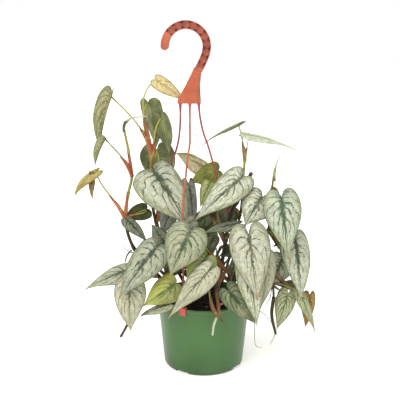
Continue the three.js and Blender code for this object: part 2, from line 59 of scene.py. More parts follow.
Triple = tuple[float, float, float]
Pair = tuple[float, float]
Colour = tuple[float, float, float, float]
Line = Callable[[float], Vector]
Size = Callable[[float], float]

log = logging.getLogger("philodendron")


def srgb(code: str) -> Colour:
    """Turn a colour code of three pairs of hexadecimal digits into linear light."""
    parts = (int(code[at:at + 2], 16) / 255 for at in (0, 2, 4))
    return (*(part / 12.92 if part <= 0.04045 else ((part + 0.055) / 1.055) ** 2.4 for part in parts), 1.0)


def smooth(value: float, start: float, end: float) -> float:
    """Rise from 0 to 1 without corners while a value goes from start to end."""
    share = min(max((value - start) / (end - start), 0.0), 1.0)
    return share * share * (3 - 2 * share)


def there_and_back(share: float) -> tuple[float, bool]:
    """Turn a share round a flat section into a side from -1 to 1 and whether it lies on the upper face."""
    return (4 * share - 1, True) if share <= 0.5 else (3 - 4 * share, False)


def rounded_side(around: float) -> tuple[float, bool]:
    """Turn a share round a flat section into a side that is crowded near both edges, and its face."""
    share, front = there_and_back(around)
    return math.sin(math.pi / 2 * share), front


def full(side: float, power: int) -> float:
    """Stay near 1 between two edges at -1 and 1, and fall to 0 on them, later for a higher power."""
    return math.sqrt(max(1 - abs(side) ** power, 0.0))


def nosed(share: float) -> float:
    """Rise from 0 to 1 as a quarter of a circle does, and stay there."""
    return math.sqrt(max(1 - (1 - min(share, 1.0)) ** 2, 0.0))


def held(value: int, limits: tuple[int, int]) -> int:
    """Hold a value between two limits."""
    return max(limits[0], min(limits[1], value))


@dataclass(frozen=True)
class Spline:
    """A smooth line through its points, on which every span takes the same share."""

    points: tuple[Vector, ...]

    @classmethod
    def through(cls, *points: Sequence[float]) -> "Spline":
        """Make the line through points given as plain numbers."""
        return cls(tuple(Vector(point) for point in points))

    def at(self, share: float) -> Vector:
        """Find the point at a share of the line, from 0 at its first point to 1 at its last."""
        spans = len(self.points) - 1
        span = max(0, min(int(share * spans), spans - 1))
        step = share * spans - span
        start, end = self.points[span], self.points[span + 1]
        before = self.points[span - 1] if span else 2 * start - end
        after = self.points[span + 2] if span + 2 <= spans else 2 * end - start
        leave, arrive = (end - before) / 2, (after - start) / 2
        cubic = 2 * (start - end) + leave + arrive
        square = 3 * (end - start) - 2 * leave - arrive
        return ((cubic * step + square) * step + leave) * step + start


@dataclass(frozen=True)
class Bezier:
    """A line from one point to another that leaves and arrives along two handles."""

    start: Vector
    leave: Vector
    arrive: Vector
    end: Vector

    def at(self, share: float) -> Vector:
        """Find the point at a share of the line."""
        rest = 1 - share
        near = rest ** 3 * self.start + 3 * rest * rest * share * self.leave
        return near + 3 * rest * share * share * self.arrive + share ** 3 * self.end


def axes(along: Vector, face: Vector) -> Matrix:
    """Make axes with y along one direction and z as near as it can be to another."""
    y = along.normalized()
    z = (face - y * face.dot(y)).normalized()
    return Matrix((y.cross(z), y, z)).transposed()


def put(name: str, data: bpy.types.ID) -> bpy.types.Object:
    """Put an object into the scene."""
    made = bpy.data.objects.new(name, data)
    bpy.context.scene.collection.objects.link(made)
    return made


def put_mesh(name: str, mesh: bmesh.types.BMesh) -> bpy.types.Object:
    """Put a finished mesh into the scene."""
    data = bpy.data.meshes.new(name)
    mesh.to_mesh(data)
    mesh.free()
    return put(name, data)


class Shape:
    """One mesh in the making, in millimetres."""

    def __init__(self) -> None:
        """Start an empty mesh that keeps the shares of its points."""
        self.mesh = bmesh.new()
        self.mesh.loops.layers.uv.new("UVMap")

    def closed(self, columns: int, rows: int, place: Callable[[float, float], Vector],
               material: Callable[[float, float], int] | int = 0) -> None:
        """Add a grid that comes round to its first column again, and close its seam and both ends.

        Args:
            columns: faces round the section.
            rows: faces along.
            place: gives a point for its shares round and along.
            material: the slot of every face, or a function of the shares of a face's middle.
        """
        choose = material if callable(material) else lambda around, along: material
        made = bmesh.ops.create_grid(self.mesh, x_segments=columns, y_segments=rows, size=0.5, calc_uvs=True)
        points = made["verts"]
        for face in dict.fromkeys(face for point in points for face in point.link_faces):
            middle = face.calc_center_median()
            face.material_index = choose(middle.x + 0.5, middle.y + 0.5)
            face.smooth = True
        for point in points:
            point.co = place(point.co.x + 0.5, point.co.y + 0.5)
        bmesh.ops.remove_doubles(self.mesh, verts=points, dist=SEAM)
        rims = [edge for edge in self.mesh.edges if edge.is_boundary]
        caps = bmesh.ops.holes_fill(self.mesh, edges=rims, sides=0)["faces"]
        for cap in caps:
            cap.material_index = choose(0.75, 0.0)

    def tube(self, line: Line, radius: Size, steps: int, sides: int = 10, material: int = 0,
             flat: float = 1.0, hint: Vector = UP) -> None:
        """Add a closed tube along a line.

        Args:
            line: gives the middle of the tube at a share of its length.
            radius: gives the radius at that share.
            steps: faces along the tube.
            sides: faces round the tube.
            material: the slot of its faces.
            flat: thickness across the hint, as a share of the thickness along it.
            hint: the direction that the first column of faces looks in.
        """
        rings = sections(line, steps, hint)

        def place(around: float, along: float) -> Vector:
            """Place a point on the ring at its share of the line."""
            middle, out, side = rings[round(along * steps)]
            angle = math.tau * around
            return middle + (out * math.cos(angle) + side * (math.sin(angle) * flat)) * radius(along)

        self.closed(sides, steps, place, material)

    def finish(self, name: str, materials: Sequence[bpy.types.Material], node: str,
               slot: str = "") -> bpy.types.Object:
        """Make the piece, in metres, for a CAD node; the slot is not used."""
        bmesh.ops.recalc_face_normals(self.mesh, faces=self.mesh.faces[:])
        bmesh.ops.scale(self.mesh, vec=(MM, MM, MM), verts=self.mesh.verts[:])
        piece = put_mesh(name, self.mesh)
        for material in materials:
            piece.data.materials.append(material)
        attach(piece, BODY)
        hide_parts(node)
        log.info("%s: %d faces", name, len(piece.data.polygons))
        return piece


def sections(line: Line, steps: int, hint: Vector = UP) -> list[tuple[Vector, Vector, Vector]]:
    """Carry a pair of directions along a line without twisting them.

    Args:
        line: gives a point for its share of the length.
        steps: spans to divide the line into.
        hint: the direction that the first of the pair starts as near to as it can.
    Returns:
        Middle, outward direction and sideways direction at every step.
    """
    nudge = 1e-3
    found = []
    out = hint.copy()
    for step in range(steps + 1):
        share = step / steps
        travel = (line(min(share + nudge, 1.0)) - line(max(share - nudge, 0.0))).normalized()
        out = out - travel * out.dot(travel)
        if out.length < nudge:
            out = travel.orthogonal()
        out = out.normalized()
        found.append((line(share), out, travel.cross(out)))
    return found


class Wire:
    """A value on its way through a material's nodes, which is worked on like a number."""

    def __init__(self, paint: "Paint", socket: bpy.types.NodeSocket) -> None:
        """Hold the socket that the value comes from."""
        self.paint = paint
        self.socket = socket

    def __add__(self, other: "Wire | float") -> "Wire":
        """Add."""
        return self.paint.math("ADD", self, other)

    def __sub__(self, other: "Wire | float") -> "Wire":
        """Subtract."""
        return self.paint.math("SUBTRACT", self, other)

    def __rsub__(self, other: float) -> "Wire":
        """Subtract this from a number."""
        return self.paint.math("SUBTRACT", other, self)

    def __mul__(self, other: "Wire | float") -> "Wire":
        """Multiply."""
        return self.paint.math("MULTIPLY", self, other)

    def __abs__(self) -> "Wire":
        """Drop the sign."""
        return self.paint.math("ABSOLUTE", self)

    def fraction(self) -> "Wire":
        """Keep what is left after the whole number."""
        return self.paint.math("FRACT", self)

    def rise(self, start: "Wire | float", end: "Wire | float") -> "Wire":
        """Go smoothly from 0 to 1 while the value goes from start to end."""
        node = self.paint.add("ShaderNodeMapRange", self, start, end, interpolation_type="SMOOTHSTEP")
        return Wire(self.paint, node.outputs[0])

    def __or__(self, other: "Wire | float") -> "Wire":
        """Take the larger of two."""
        return self.paint.math("MAXIMUM", self, other)


class Paint:
    """The nodes of one material, with the steps that the finishes of this plant are made of.

    The numbers in a finish say where a mask starts and ends or how strong it is. They were set one by one.
    """

    def __init__(self, name: str, roughness: float, specular: float = 0.4) -> None:
        """Start a material with one roughness and one specular share all over."""
        self.material = bpy.data.materials.new(name)
        self.material.use_nodes = True
        self.tree = self.material.node_tree
        self.shader = self.tree.nodes["Principled BSDF"]
        self.shader.inputs["Roughness"].default_value = roughness
        self.shader.inputs["Specular IOR Level"].default_value = specular

    def add(self, kind: str, *values: "Wire | float | Colour | None", **settings: object) -> bpy.types.Node:
        """Add a node with its own options, and a wire, a plain value or None for each input in turn."""
        node = self.tree.nodes.new(kind)
        for key, value in settings.items():
            setattr(node, key, value)
        for socket, value in zip(node.inputs, values):
            self.feed(socket, value)
        return node

    def feed(self, socket: bpy.types.NodeSocket, value: "Wire | float | Colour | str | None") -> None:
        """Link a wire to an input, or set its plain value or its colour code."""
        if isinstance(value, str):
            socket.default_value = srgb(value)
        elif isinstance(value, Wire):
            self.tree.links.new(value.socket, socket)
        elif value is not None:
            socket.default_value = value

    def math(self, operation: str, *values: "Wire | float") -> Wire:
        """Work one sum."""
        return Wire(self, self.add("ShaderNodeMath", *values, operation=operation).outputs[0])

    def uv(self) -> tuple[Wire, Wire]:
        """Give the shares round and along the piece."""
        node = self.add("ShaderNodeSeparateXYZ", Wire(self, self.add("ShaderNodeUVMap").outputs[0]))
        return Wire(self, node.outputs[0]), Wire(self, node.outputs[1])

    def where(self) -> Wire:
        """Give the place in the frame, in metres."""
        return Wire(self, self.add("ShaderNodeTexCoord").outputs["Object"])

    def height(self) -> Wire:
        """Give the height over the pot's foot, in millimetres."""
        return Wire(self, self.add("ShaderNodeSeparateXYZ", self.where()).outputs[2]) * (1 / MM)

    def noise(self, size: float, detail: float = 2.0, at: Wire | None = None) -> Wire:
        """Give soft noise from about -0.5 to 0.5, in blots of a size in millimetres, or in at's own units."""
        scale = 1 / size if at else 1 / (size * MM)
        node = self.add("ShaderNodeTexNoise")
        self.feed(node.inputs["Vector"], at or self.where())
        node.inputs["Scale"].default_value = scale
        node.inputs["Detail"].default_value = detail
        return Wire(self, node.outputs[0]) - 0.5

    def ridges(self, x: Wire, y: "Wire | float", z: "Wire | float", detail: float = 2.0) -> Wire:
        """Give noise read at three values, which is finest along the one that grows fastest."""
        return self.noise(1, detail, Wire(self, self.add("ShaderNodeCombineXYZ", x, y, z).outputs[0]))

    def mix(self, amount: Wire, first: "Wire | Colour | str", second: "Wire | Colour | str") -> Wire:
        """Go from a first colour to a second, each a wire, a colour or a colour code."""
        node = self.add("ShaderNodeMix", data_type="RGBA")
        self.feed(node.inputs[0], amount)
        self.feed(node.inputs[6], first)
        self.feed(node.inputs[7], second)
        return Wire(self, node.outputs[2])

    def done(self, colour: Wire, relief: Wire | None = None, depth: float = 0.1,
             roughness: Wire | None = None) -> bpy.types.Material:
        """Connect a colour, a relief with its depth in millimetres and a roughness to the shader."""
        self.feed(self.shader.inputs["Base Color"], colour)
        if relief:
            bump = self.add("ShaderNodeBump")
            bump.inputs["Distance"].default_value = depth * MM
            self.feed(bump.inputs["Height"], relief)
            self.tree.links.new(bump.outputs[0], self.shader.inputs["Normal"])
        if roughness:
            self.feed(self.shader.inputs["Roughness"], roughness)
        return self.material


@dataclass(frozen=True)
class LeafFinish:
    """How a blade is marked, from its midrib to its margin."""

    silver: str = "bdc0a8"
    green: str = "3a4433"
    rim: str = "66754a"
    under: str = "747d55"
    tip: str = "8f8256"
    veins: float = 7.0
    root_width: float = 0.42
    end_width: float = 0.17
    rib: float = 0.11
    rim_start: float = 0.82
    base: float = 0.2
    specks: float = 0.6
    veinlets: float = 0.35
    blush: str = "a9ad5a"
    blush_pull: Triple = (0.0, 0.0, 0.0)
    blush_start: float = 1.0
    spots: str = ""
    roughness: float = 0.5

    DUSTY = "b3a886"
    DRY_EDGE = "8d7650"
    PALE_RIB = "a3a35c"

    def flow(self, paint: Paint, hand: Wire, share: Wire, stagger: float) -> Wire:
        """Count side veins along a blade: a whole number on each, swept forwards from the midrib."""
        bow = paint.math("POWER", abs(hand), VEIN_BOW) * VEIN_SWEEP
        return (share - bow) * self.veins + paint.math("SIGN", hand) * stagger

    def blushing(self, hand: Wire, share: Wire, way: int, drift: Wire) -> Wire:
        """Find where a face turns to its blush, on the same half of the leaf from above as from below."""
        across, along, turn = self.blush_pull
        pull = abs(hand) * across + share * along + hand * (turn * way) + drift
        return pull.rise(self.blush_start, self.blush_start + 0.3)

    def marks(self, paint: Paint, side: Wire, flow: Wire, drift: Wire, streak: Wire,
              grain: Wire) -> tuple[Wire, Wire]:
        """Find the side veins, and all that is dark on the silver: veins, veinlets, midrib and specks."""
        near = abs((flow + drift * 1.5).fraction() * 2 - 1) + streak + grain * 0.6
        spread = paint.math("POWER", 1 - side.rise(0, 1), 1.6) * (self.root_width - self.end_width)
        edge = 1 - (spread + self.end_width)
        vein = near.rise(edge, edge + 0.22) * ((drift + streak).rise(-0.25, 0.05) * 0.5 + 0.5)
        between = abs((flow * 3 + drift * 4).fraction() * 2 - 1) + streak * 1.1
        veinlet = between.rise(0.72, 1.0) * (drift + streak + 0.5).rise(0.4, 0.62) * self.veinlets
        rib = 1 - (side + streak * 0.45 + drift * 0.1).rise(self.rib * 0.5, self.rib * 1.9)
        specks = (paint.noise(1.9, detail=2) + side * 0.08).rise(0.13, 0.22) * self.specks
        return vein, vein | rib | specks | veinlet

    def top(self, name: str) -> bpy.types.Material:
        """Make the finish of the upper face."""
        paint = Paint(f"{name}_upper", self.roughness, 0.26)
        around, share = paint.uv()
        hand = around * 4 - 1
        side = abs(hand)
        drift = paint.noise(16, detail=1)
        grain = paint.noise(1.3, detail=3)
        flow = self.flow(paint, hand, share, VEIN_STAGGER)
        streak = paint.ridges(hand * 6, flow * 4, drift * 9, detail=4)
        vein, dark = self.marks(paint, side, flow, drift, streak, grain)
        rim = (side + drift * 0.5 + streak * 0.3).rise(self.rim_start - 0.1, self.rim_start + 0.12)
        hem = side.rise(0.95, 0.99)
        foot = 1 - (share + drift * 0.25 + streak * 0.15).rise(self.base * 0.5, self.base * 1.3)
        freckles = (grain + streak * 0.5).rise(-0.06, 0.1)
        silver = (1 - dark) * (1 - rim * (0.85 - freckles * 0.6)) * (1 - foot * (0.9 - freckles * 0.6))
        silver = silver * (1 - hem * 0.8)
        patch = paint.mix((paint.noise(6, detail=2) + streak * 0.4).rise(-0.24, 0.2),
                          dim(self.silver, 0.7), self.silver)
        ground = paint.mix(rim * (1 - vein * 0.7), self.green, self.rim)
        ground = paint.mix(paint.noise(4).rise(-0.15, 0.25) * 0.5, ground, dim(self.rim, 0.8))
        dry = hem * (drift.rise(0.0, 0.12) * 0.6 + 0.4)
        ground = paint.mix(dry, ground, self.DRY_EDGE)
        colour = paint.mix(silver, ground, patch)
        colour = paint.mix(drift.rise(-0.02, 0.2) * 0.22, colour, self.DUSTY)
        if self.blush_start < 1:
            mask = self.blushing(hand, share, 1, drift * 0.5 + grain * 0.15)
            colour = paint.mix(mask * (1 - dark * 0.6) * 0.85, colour, self.blush)
        if self.spots:
            colour = paint.mix(paint.noise(4.5, detail=2).rise(0.08, 0.18) * 0.75, colour, self.spots)
        colour = paint.mix((share + streak * 0.05).rise(0.9, 0.975), colour, self.tip)
        relief = silver * 0.55 + grain * 0.5 + streak * 0.3
        return paint.done(colour, relief, 0.22)

    def below(self, name: str) -> bpy.types.Material:
        """Make the finish of the lower face."""
        paint = Paint(f"{name}_lower", self.roughness + 0.12, 0.2)
        around, share = paint.uv()
        hand = around * 4 - 3
        side = abs(hand)
        drift = paint.noise(15, detail=2)
        grain = paint.noise(1.6, detail=3)
        flow = self.flow(paint, hand, share, -VEIN_STAGGER)
        near = abs((flow + drift * 0.6).fraction() * 2 - 1)
        vein = near.rise(0.84, 0.97) * (1 - side * 0.6)
        gloom = near.rise(0.3, 0.8) * (1 - vein)
        rib = 1 - side.rise(0.03, 0.07)
        shade = (drift + grain * 0.35).rise(-0.16, 0.2)
        colour = paint.mix(shade, dim(self.under, 0.6), dim(self.under, 1.25))
        colour = paint.mix(gloom * (grain + drift + 0.5) * 0.8, colour, dim(self.under, 0.4))
        colour = paint.mix(vein * 0.5, colour, dim(self.under, 1.6))
        colour = paint.mix(rib * 0.8, colour, self.PALE_RIB)
        if self.blush_start < 1:
            colour = paint.mix(self.blushing(hand, share, -1, drift * 0.5) * 0.6, colour, self.blush)
        colour = paint.mix(share.rise(0.9, 0.97), colour, self.tip)
        return paint.done(colour, vein + rib + grain * 0.4, 0.25)


def dim(code: str, factor: float) -> Colour:
    """Make a colour lighter or darker by a factor of its light."""
    return (*(min(part * factor, 1.0) for part in srgb(code)[:3]), 1.0)


class Skin(Enum):
    """The finishes that the leaves of this plant have."""

    SILVER = LeafFinish()
    DEEP_SILVER = LeafFinish("a3a890", "323f2d", "5f6b48", veins=7, root_width=0.46, end_width=0.2)
    OLIVE_GREY = LeafFinish("939468", "55592c", "6c6c38", "6a6f48", veins=7, root_width=0.44, end_width=0.3,
                            specks=0.9, spots="6b5a3a")
    TAN = LeafFinish("b3a45e", "7a7034", "77702c", "9a8c4c", "7a562a", rib=0.05, specks=0.3,
                     blush="86702f", blush_pull=(0.0, 1.0, -0.3), blush_start=0.6)
    CLAW = LeafFinish("7d6234", "4c3a1c", "5b4420", "6f5630", "5a2f1c", rib=0.04, specks=0.8, spots="4a2c18")
    BANDED = LeafFinish("a9ae92", "3a4930", "6a7850", "808a62", "a9a88c", veins=6, root_width=0.4,
                        end_width=0.26, base=0.08, rim_start=0.9, specks=0.2)
    DUSKY = LeafFinish("7d8270", "2f3826", "4c5638", "50573a", veins=7, root_width=0.5, end_width=0.3)
    OLIVE = LeafFinish("5c6238", "30361a", "454c24", "4a502a", veins=6, root_width=0.5, end_width=0.3)
    SHADED = LeafFinish("5d6647", "242d18", "3a4526", "3c4424", veins=6, root_width=0.5, end_width=0.34)
    CREAM_SPOTTED = LeafFinish("cdbd88", "958b4c", "827e40", "c4b080", "978048", rib=0.05, veins=6,
                               end_width=0.1, specks=0.2, spots="b3824a", base=0.1)
    OLIVE_BELOW = LeafFinish(under="767c54", green="4a5a38")
    MAUVE = LeafFinish("8d8f84", "454c3c", "5c6148", "6a6a60", veins=5, root_width=0.3, end_width=0.1,
                       specks=0.2, veinlets=0.1)
    EDGE_ON = LeafFinish("96997a", "5f673c", "707648", "7e855f", "6f5a5a", veins=6)
    PALE = LeafFinish("c3ccb2", "7f8e6c", "98a581", "acb696", "c2c3ac", veins=6, root_width=0.3,
                      end_width=0.16, specks=0.1, base=0.1, rim_start=0.9)
    OCHRE_RIM = LeafFinish("bdb490", "7d7440", "7d7a34", "c9bd96", "8f7a3c", veins=5, root_width=0.3,
                           end_width=0.1, specks=0.3, blush="75702a", blush_pull=(1.1, -0.2, 0.55),
                           blush_start=0.6, spots="a88a58")
    GREEN = LeafFinish("7f8a68", "3c4a2c", "566238", "5c6640", veins=6, root_width=0.5, end_width=0.26)
    OLIVE_FOLD = LeafFinish("a3a870", "5f6a2a", "747c36", "949a52", "6f742e",
                            blush="a5a03a", blush_pull=(-0.6, -0.2, 0.5), blush_start=0.0)
    BROWN_OLIVE = LeafFinish("6f6844", "3e3c20", "504d2c", "5a5532", "54452a", specks=1.0)
    BLOTCHED = LeafFinish("b0b69e", "324a38", "6d7b50", root_width=0.5, end_width=0.2)
    LIME_RIM = LeafFinish("9da184", "3c482b", "66704a", tip="9c8446", root_width=0.48, end_width=0.2)
    LIME = LeafFinish("8b9470", "46551f", "6f7c38", "6d7638", blush="7f8a3a",
                      blush_pull=(1.0, 0.0, 0.2), blush_start=0.5, root_width=0.5, end_width=0.24)
    CREAM = LeafFinish("aeae93", "41462f", "787b56", "85885c", "a8966a", veins=8, root_width=0.3,
                       end_width=0.17, rib=0.06, base=0.12, specks=0.2, rim_start=0.88)
    CREAM_BROWN_TIP = LeafFinish("b4b59f", "40452f", "74785a", tip="a0704a", veins=7, root_width=0.34,
                                 end_width=0.16, specks=0.45, rib=0.07)
    STRIPED_GREEN = LeafFinish("6d7757", "2c3a22", "4a5834", "545f3a", veins=7, root_width=0.5,
                               end_width=0.34, base=0.1, specks=0.1)
    STRIPED_PALE = LeafFinish("a6ab84", "46552e", "6a763f", "7c8252", "9a8c52", veins=8, root_width=0.42,
                              end_width=0.3, base=0.1, specks=0.2, rib=0.06)
    GOLDEN = LeafFinish("9c7e3e", "5c4820", "50401c", "8a6f34", "36281a", veins=5, spots="543c1a",
                        specks=0.8, roughness=0.6)
    YELLOW_HALF = LeafFinish("8f955a", "4c5a22", "7d8434", "8b9148", "9a9a40", blush="adb158",
                             blush_pull=(0.35, 0.75, 0.35), blush_start=0.42, root_width=0.5, specks=0.5)
    DARK_RIM = LeafFinish("a5a98a", "48523a", "33341f", "7b805c", veins=7, rim_start=0.9)


@lru_cache(maxsize=None)
def dress(skin: Skin) -> tuple[bpy.types.Material, bpy.types.Material]:
    """Make the upper and the lower material of a leaf finish, once."""
    name = "leaf_" + skin.name.lower()
    return skin.value.top(name), skin.value.below(name)


@dataclass(frozen=True)
class StemFinish:
    """The colours of a vine's stem and of its stalks, from the foot of a sheath to the blade."""

    old: str = "2e2a1c"
    young: str = "8a6a3c"
    turn: float = 1000.0
    sheath: str = "b2603c"
    sheath_end: str = "8f5a3a"
    stalk: str = "a9a24e"
    joint: str = "6d7a44"
    turn_share: float = 0.0
    foot: str = "5d4a2a"

    PATCHED = "6d5f3a"
    BUD = "adb096"
    BUD_RIDGES = "858b62"

    def stem(self, name: str) -> bpy.types.Material:
        """Make the finish of the stem, whose bark ends at a height, or at a share of its length."""
        paint = Paint(f"{name}_stem", 0.5, 0.25)
        drift = paint.noise(9, detail=2)
        grain = paint.noise(1.1, detail=3)
        around, share = paint.uv()
        ridges = paint.ridges(around * 9, share * 14, drift * 4)
        if self.turn_share:
            young = (share + drift * 0.1).rise(self.turn_share - 0.03, self.turn_share + 0.03)
        else:
            young = (paint.height() + drift * 30).rise(self.turn - 7, self.turn + 7)
        shade = (ridges + grain * 0.5).rise(-0.22, 0.22)
        old = paint.mix(shade, dim(self.old, 0.55), dim(self.old, 1.5))
        old = paint.mix(paint.noise(14).rise(0.04, 0.2) * 0.5, old, self.PATCHED)
        fresh = paint.mix(shade, dim(self.young, 0.65), dim(self.young, 1.15))
        fresh = paint.mix(paint.noise(24).rise(-0.02, 0.16) * 0.7, fresh, self.stalk)
        return paint.done(paint.mix(young, old, fresh), ridges + grain * 0.6 + 0.5, 0.3)

    def petiole(self, name: str) -> bpy.types.Material:
        """Make the finish of the stalks, which go from the sheath's colour to green."""
        paint = Paint(f"{name}_stalk", 0.42, 0.3)
        around, share = paint.uv()
        drift = paint.noise(12, detail=2)
        grain = paint.noise(1.2, detail=3)
        ridges = paint.ridges(around * 8, share * 5, drift * 3)
        colour = paint.mix((share + drift * 0.5).rise(0.3, 0.6), self.sheath, self.stalk)
        colour = paint.mix(drift.rise(0.02, 0.16) * share.rise(0.5, 0.6) * 0.5, colour, self.joint)
        colour = paint.mix((share + drift * 0.1).rise(0.92, 0.965), colour, self.joint)
        colour = paint.mix(ridges.rise(-0.1, 0.3) * 0.3, colour, dim(self.stalk, 0.6))
        return paint.done(colour, ridges + grain * 0.4 + 0.5, 0.2)

    def wing(self, name: str) -> bpy.types.Material:
        """Make the finish of the sheaths, browner and drier towards their points."""
        paint = Paint(f"{name}_sheath", 0.46, 0.3)
        around, share = paint.uv()
        drift = paint.noise(7, detail=2)
        ridges = paint.ridges(around * 22, share * 3, drift * 3, detail=3)
        warm = paint.mix(ridges.rise(-0.2, 0.25), dim(self.sheath, 0.72), dim(self.sheath, 1.2))
        colour = paint.mix((share + drift * 0.6).rise(0.55, 0.95), warm, self.sheath_end)
        colour = paint.mix((1 - share + drift * 0.7).rise(0.55, 0.95) * 0.85, colour, self.foot)
        colour = paint.mix(drift.rise(0.03, 0.2) * 0.6, colour, self.stalk)
        return paint.done(colour, ridges + 0.5, 0.3)

    def bud(self, name: str) -> bpy.types.Material:
        """Make the finish of a bud, spur or rolled young leaf: green at its joint, then pale."""
        paint = Paint(f"{name}_bud", 0.5, 0.25)
        around, share = paint.uv()
        grain = paint.noise(1.2, detail=3)
        ridges = paint.ridges(around * 10, share * 4, 0.0)
        colour = paint.mix((share + ridges * 0.2).rise(0.05, 0.4), self.joint, self.BUD)
        colour = paint.mix(ridges.rise(-0.05, 0.2) * 0.5, colour, self.BUD_RIDGES)
        return paint.done(colour, ridges + grain * 0.4 + 0.5, 0.15)

    def knot(self, name: str) -> bpy.types.Material:
        """Make the finish of a thick green joint."""
        paint = Paint(f"{name}_knot", 0.5, 0.25)
        grain = paint.noise(1.4, detail=3)
        colour = paint.mix(grain.rise(-0.15, 0.15), dim(self.joint, 0.6), dim(self.joint, 1.1))
        return paint.done(colour, grain + 0.5, 0.2)


class Part(IntEnum):
    """The parts of a vine, in the order of its materials."""

    STEM = 0
    STALK = 1
    SHEATH = 2
    BUD = 3
    KNOT = 4


class Bark(Enum):
    """The stem finishes of this plant."""

    RED = StemFinish("352b12", "8f8a42", 243.0, "a5583a", "7c4630", "9a9a50", "59633c",
                     foot="8f4a30")
    ORANGE = StemFinish("48260f", "7f6a2c", 292.0, "9c5634", "6f5632", "a09a42", "8a9048",
                        foot="6f6430")
    OLIVE = StemFinish("35311a", "8c863a", 292.0, "7e5a36", "684a2e", "979f5e", "7d885a",
                       foot="86783a")
    CUT = StemFinish("2f2b12", "50392a", 296.0, "62502f", "564428", "83844a", "6a7046")
    RIGHT = StemFinish("353418", "6d7236", 300.0, "6c6438", "6c5c38", "90985a", "70763e",
                       foot="5f5c30")
    RUST = StemFinish("33280f", "64422a", sheath="764a30", sheath_end="5f452c", stalk="8f8a40",
                      joint="707a44", turn_share=0.4)
    BROWN = StemFinish("3b3216", sheath="6a5034", sheath_end="5a4630", stalk="85854a", joint="626b46")


@lru_cache(maxsize=None)
def bark(kind: Bark) -> tuple[bpy.types.Material, ...]:
    """Make a vine's materials: its stem, stalks, sheaths, buds and joints."""
    name = "vine_" + kind.name.lower()
    finish = kind.value
    return (finish.stem(name), finish.petiole(name), finish.wing(name), finish.bud(name),
            finish.knot(name))


@dataclass(frozen=True)
class Leaf:
    """One leaf: the stem's point that it grows from, where its blade lies, and how the blade is shaped.

    Places are in millimetres. The face is the way that the upper side looks. Bend is the droop from base
    to tip in degrees, fold the rise of both halves from the midrib, arch their fall towards the margin,
    tail how much of the length the thin tip takes, lobe how far the lobes reach behind the base, and wave
    the swing of the margin. Leave and arrive are the ways that the stalk takes at its two ends, where they
    aren't the usual ones. A bare leaf hangs on its neighbours, with no stalk of its own.
    """

    node: int
    base: Triple
    tip: Triple
    face: Triple
    width: float
    skin: Skin = Skin.SILVER
    bend: float = 18.0
    fold: float = 0.22
    arch: float = 0.42
    tail: float = 0.06
    lobe: float = 1.0
    wave: float = 1.0
    leave: Triple | None = None
    arrive: Triple | None = None
    bare: bool = False


HALF_OUTLINE = Spline.through(
    (0.03, -0.05), (0.2, -0.15), (0.58, -0.17), (0.92, -0.03), (1.0, 0.2),
    (0.88, 0.44), (0.58, 0.67), (0.25, 0.85), (0.07, 0.95), (0.012, 1.0))


@lru_cache(maxsize=None)
def outline(share: float) -> Pair:
    """Find half the width and the length reached at a share of a blade's margin."""
    edge = HALF_OUTLINE.at(share)
    return max(edge.x, 0.0), edge.y


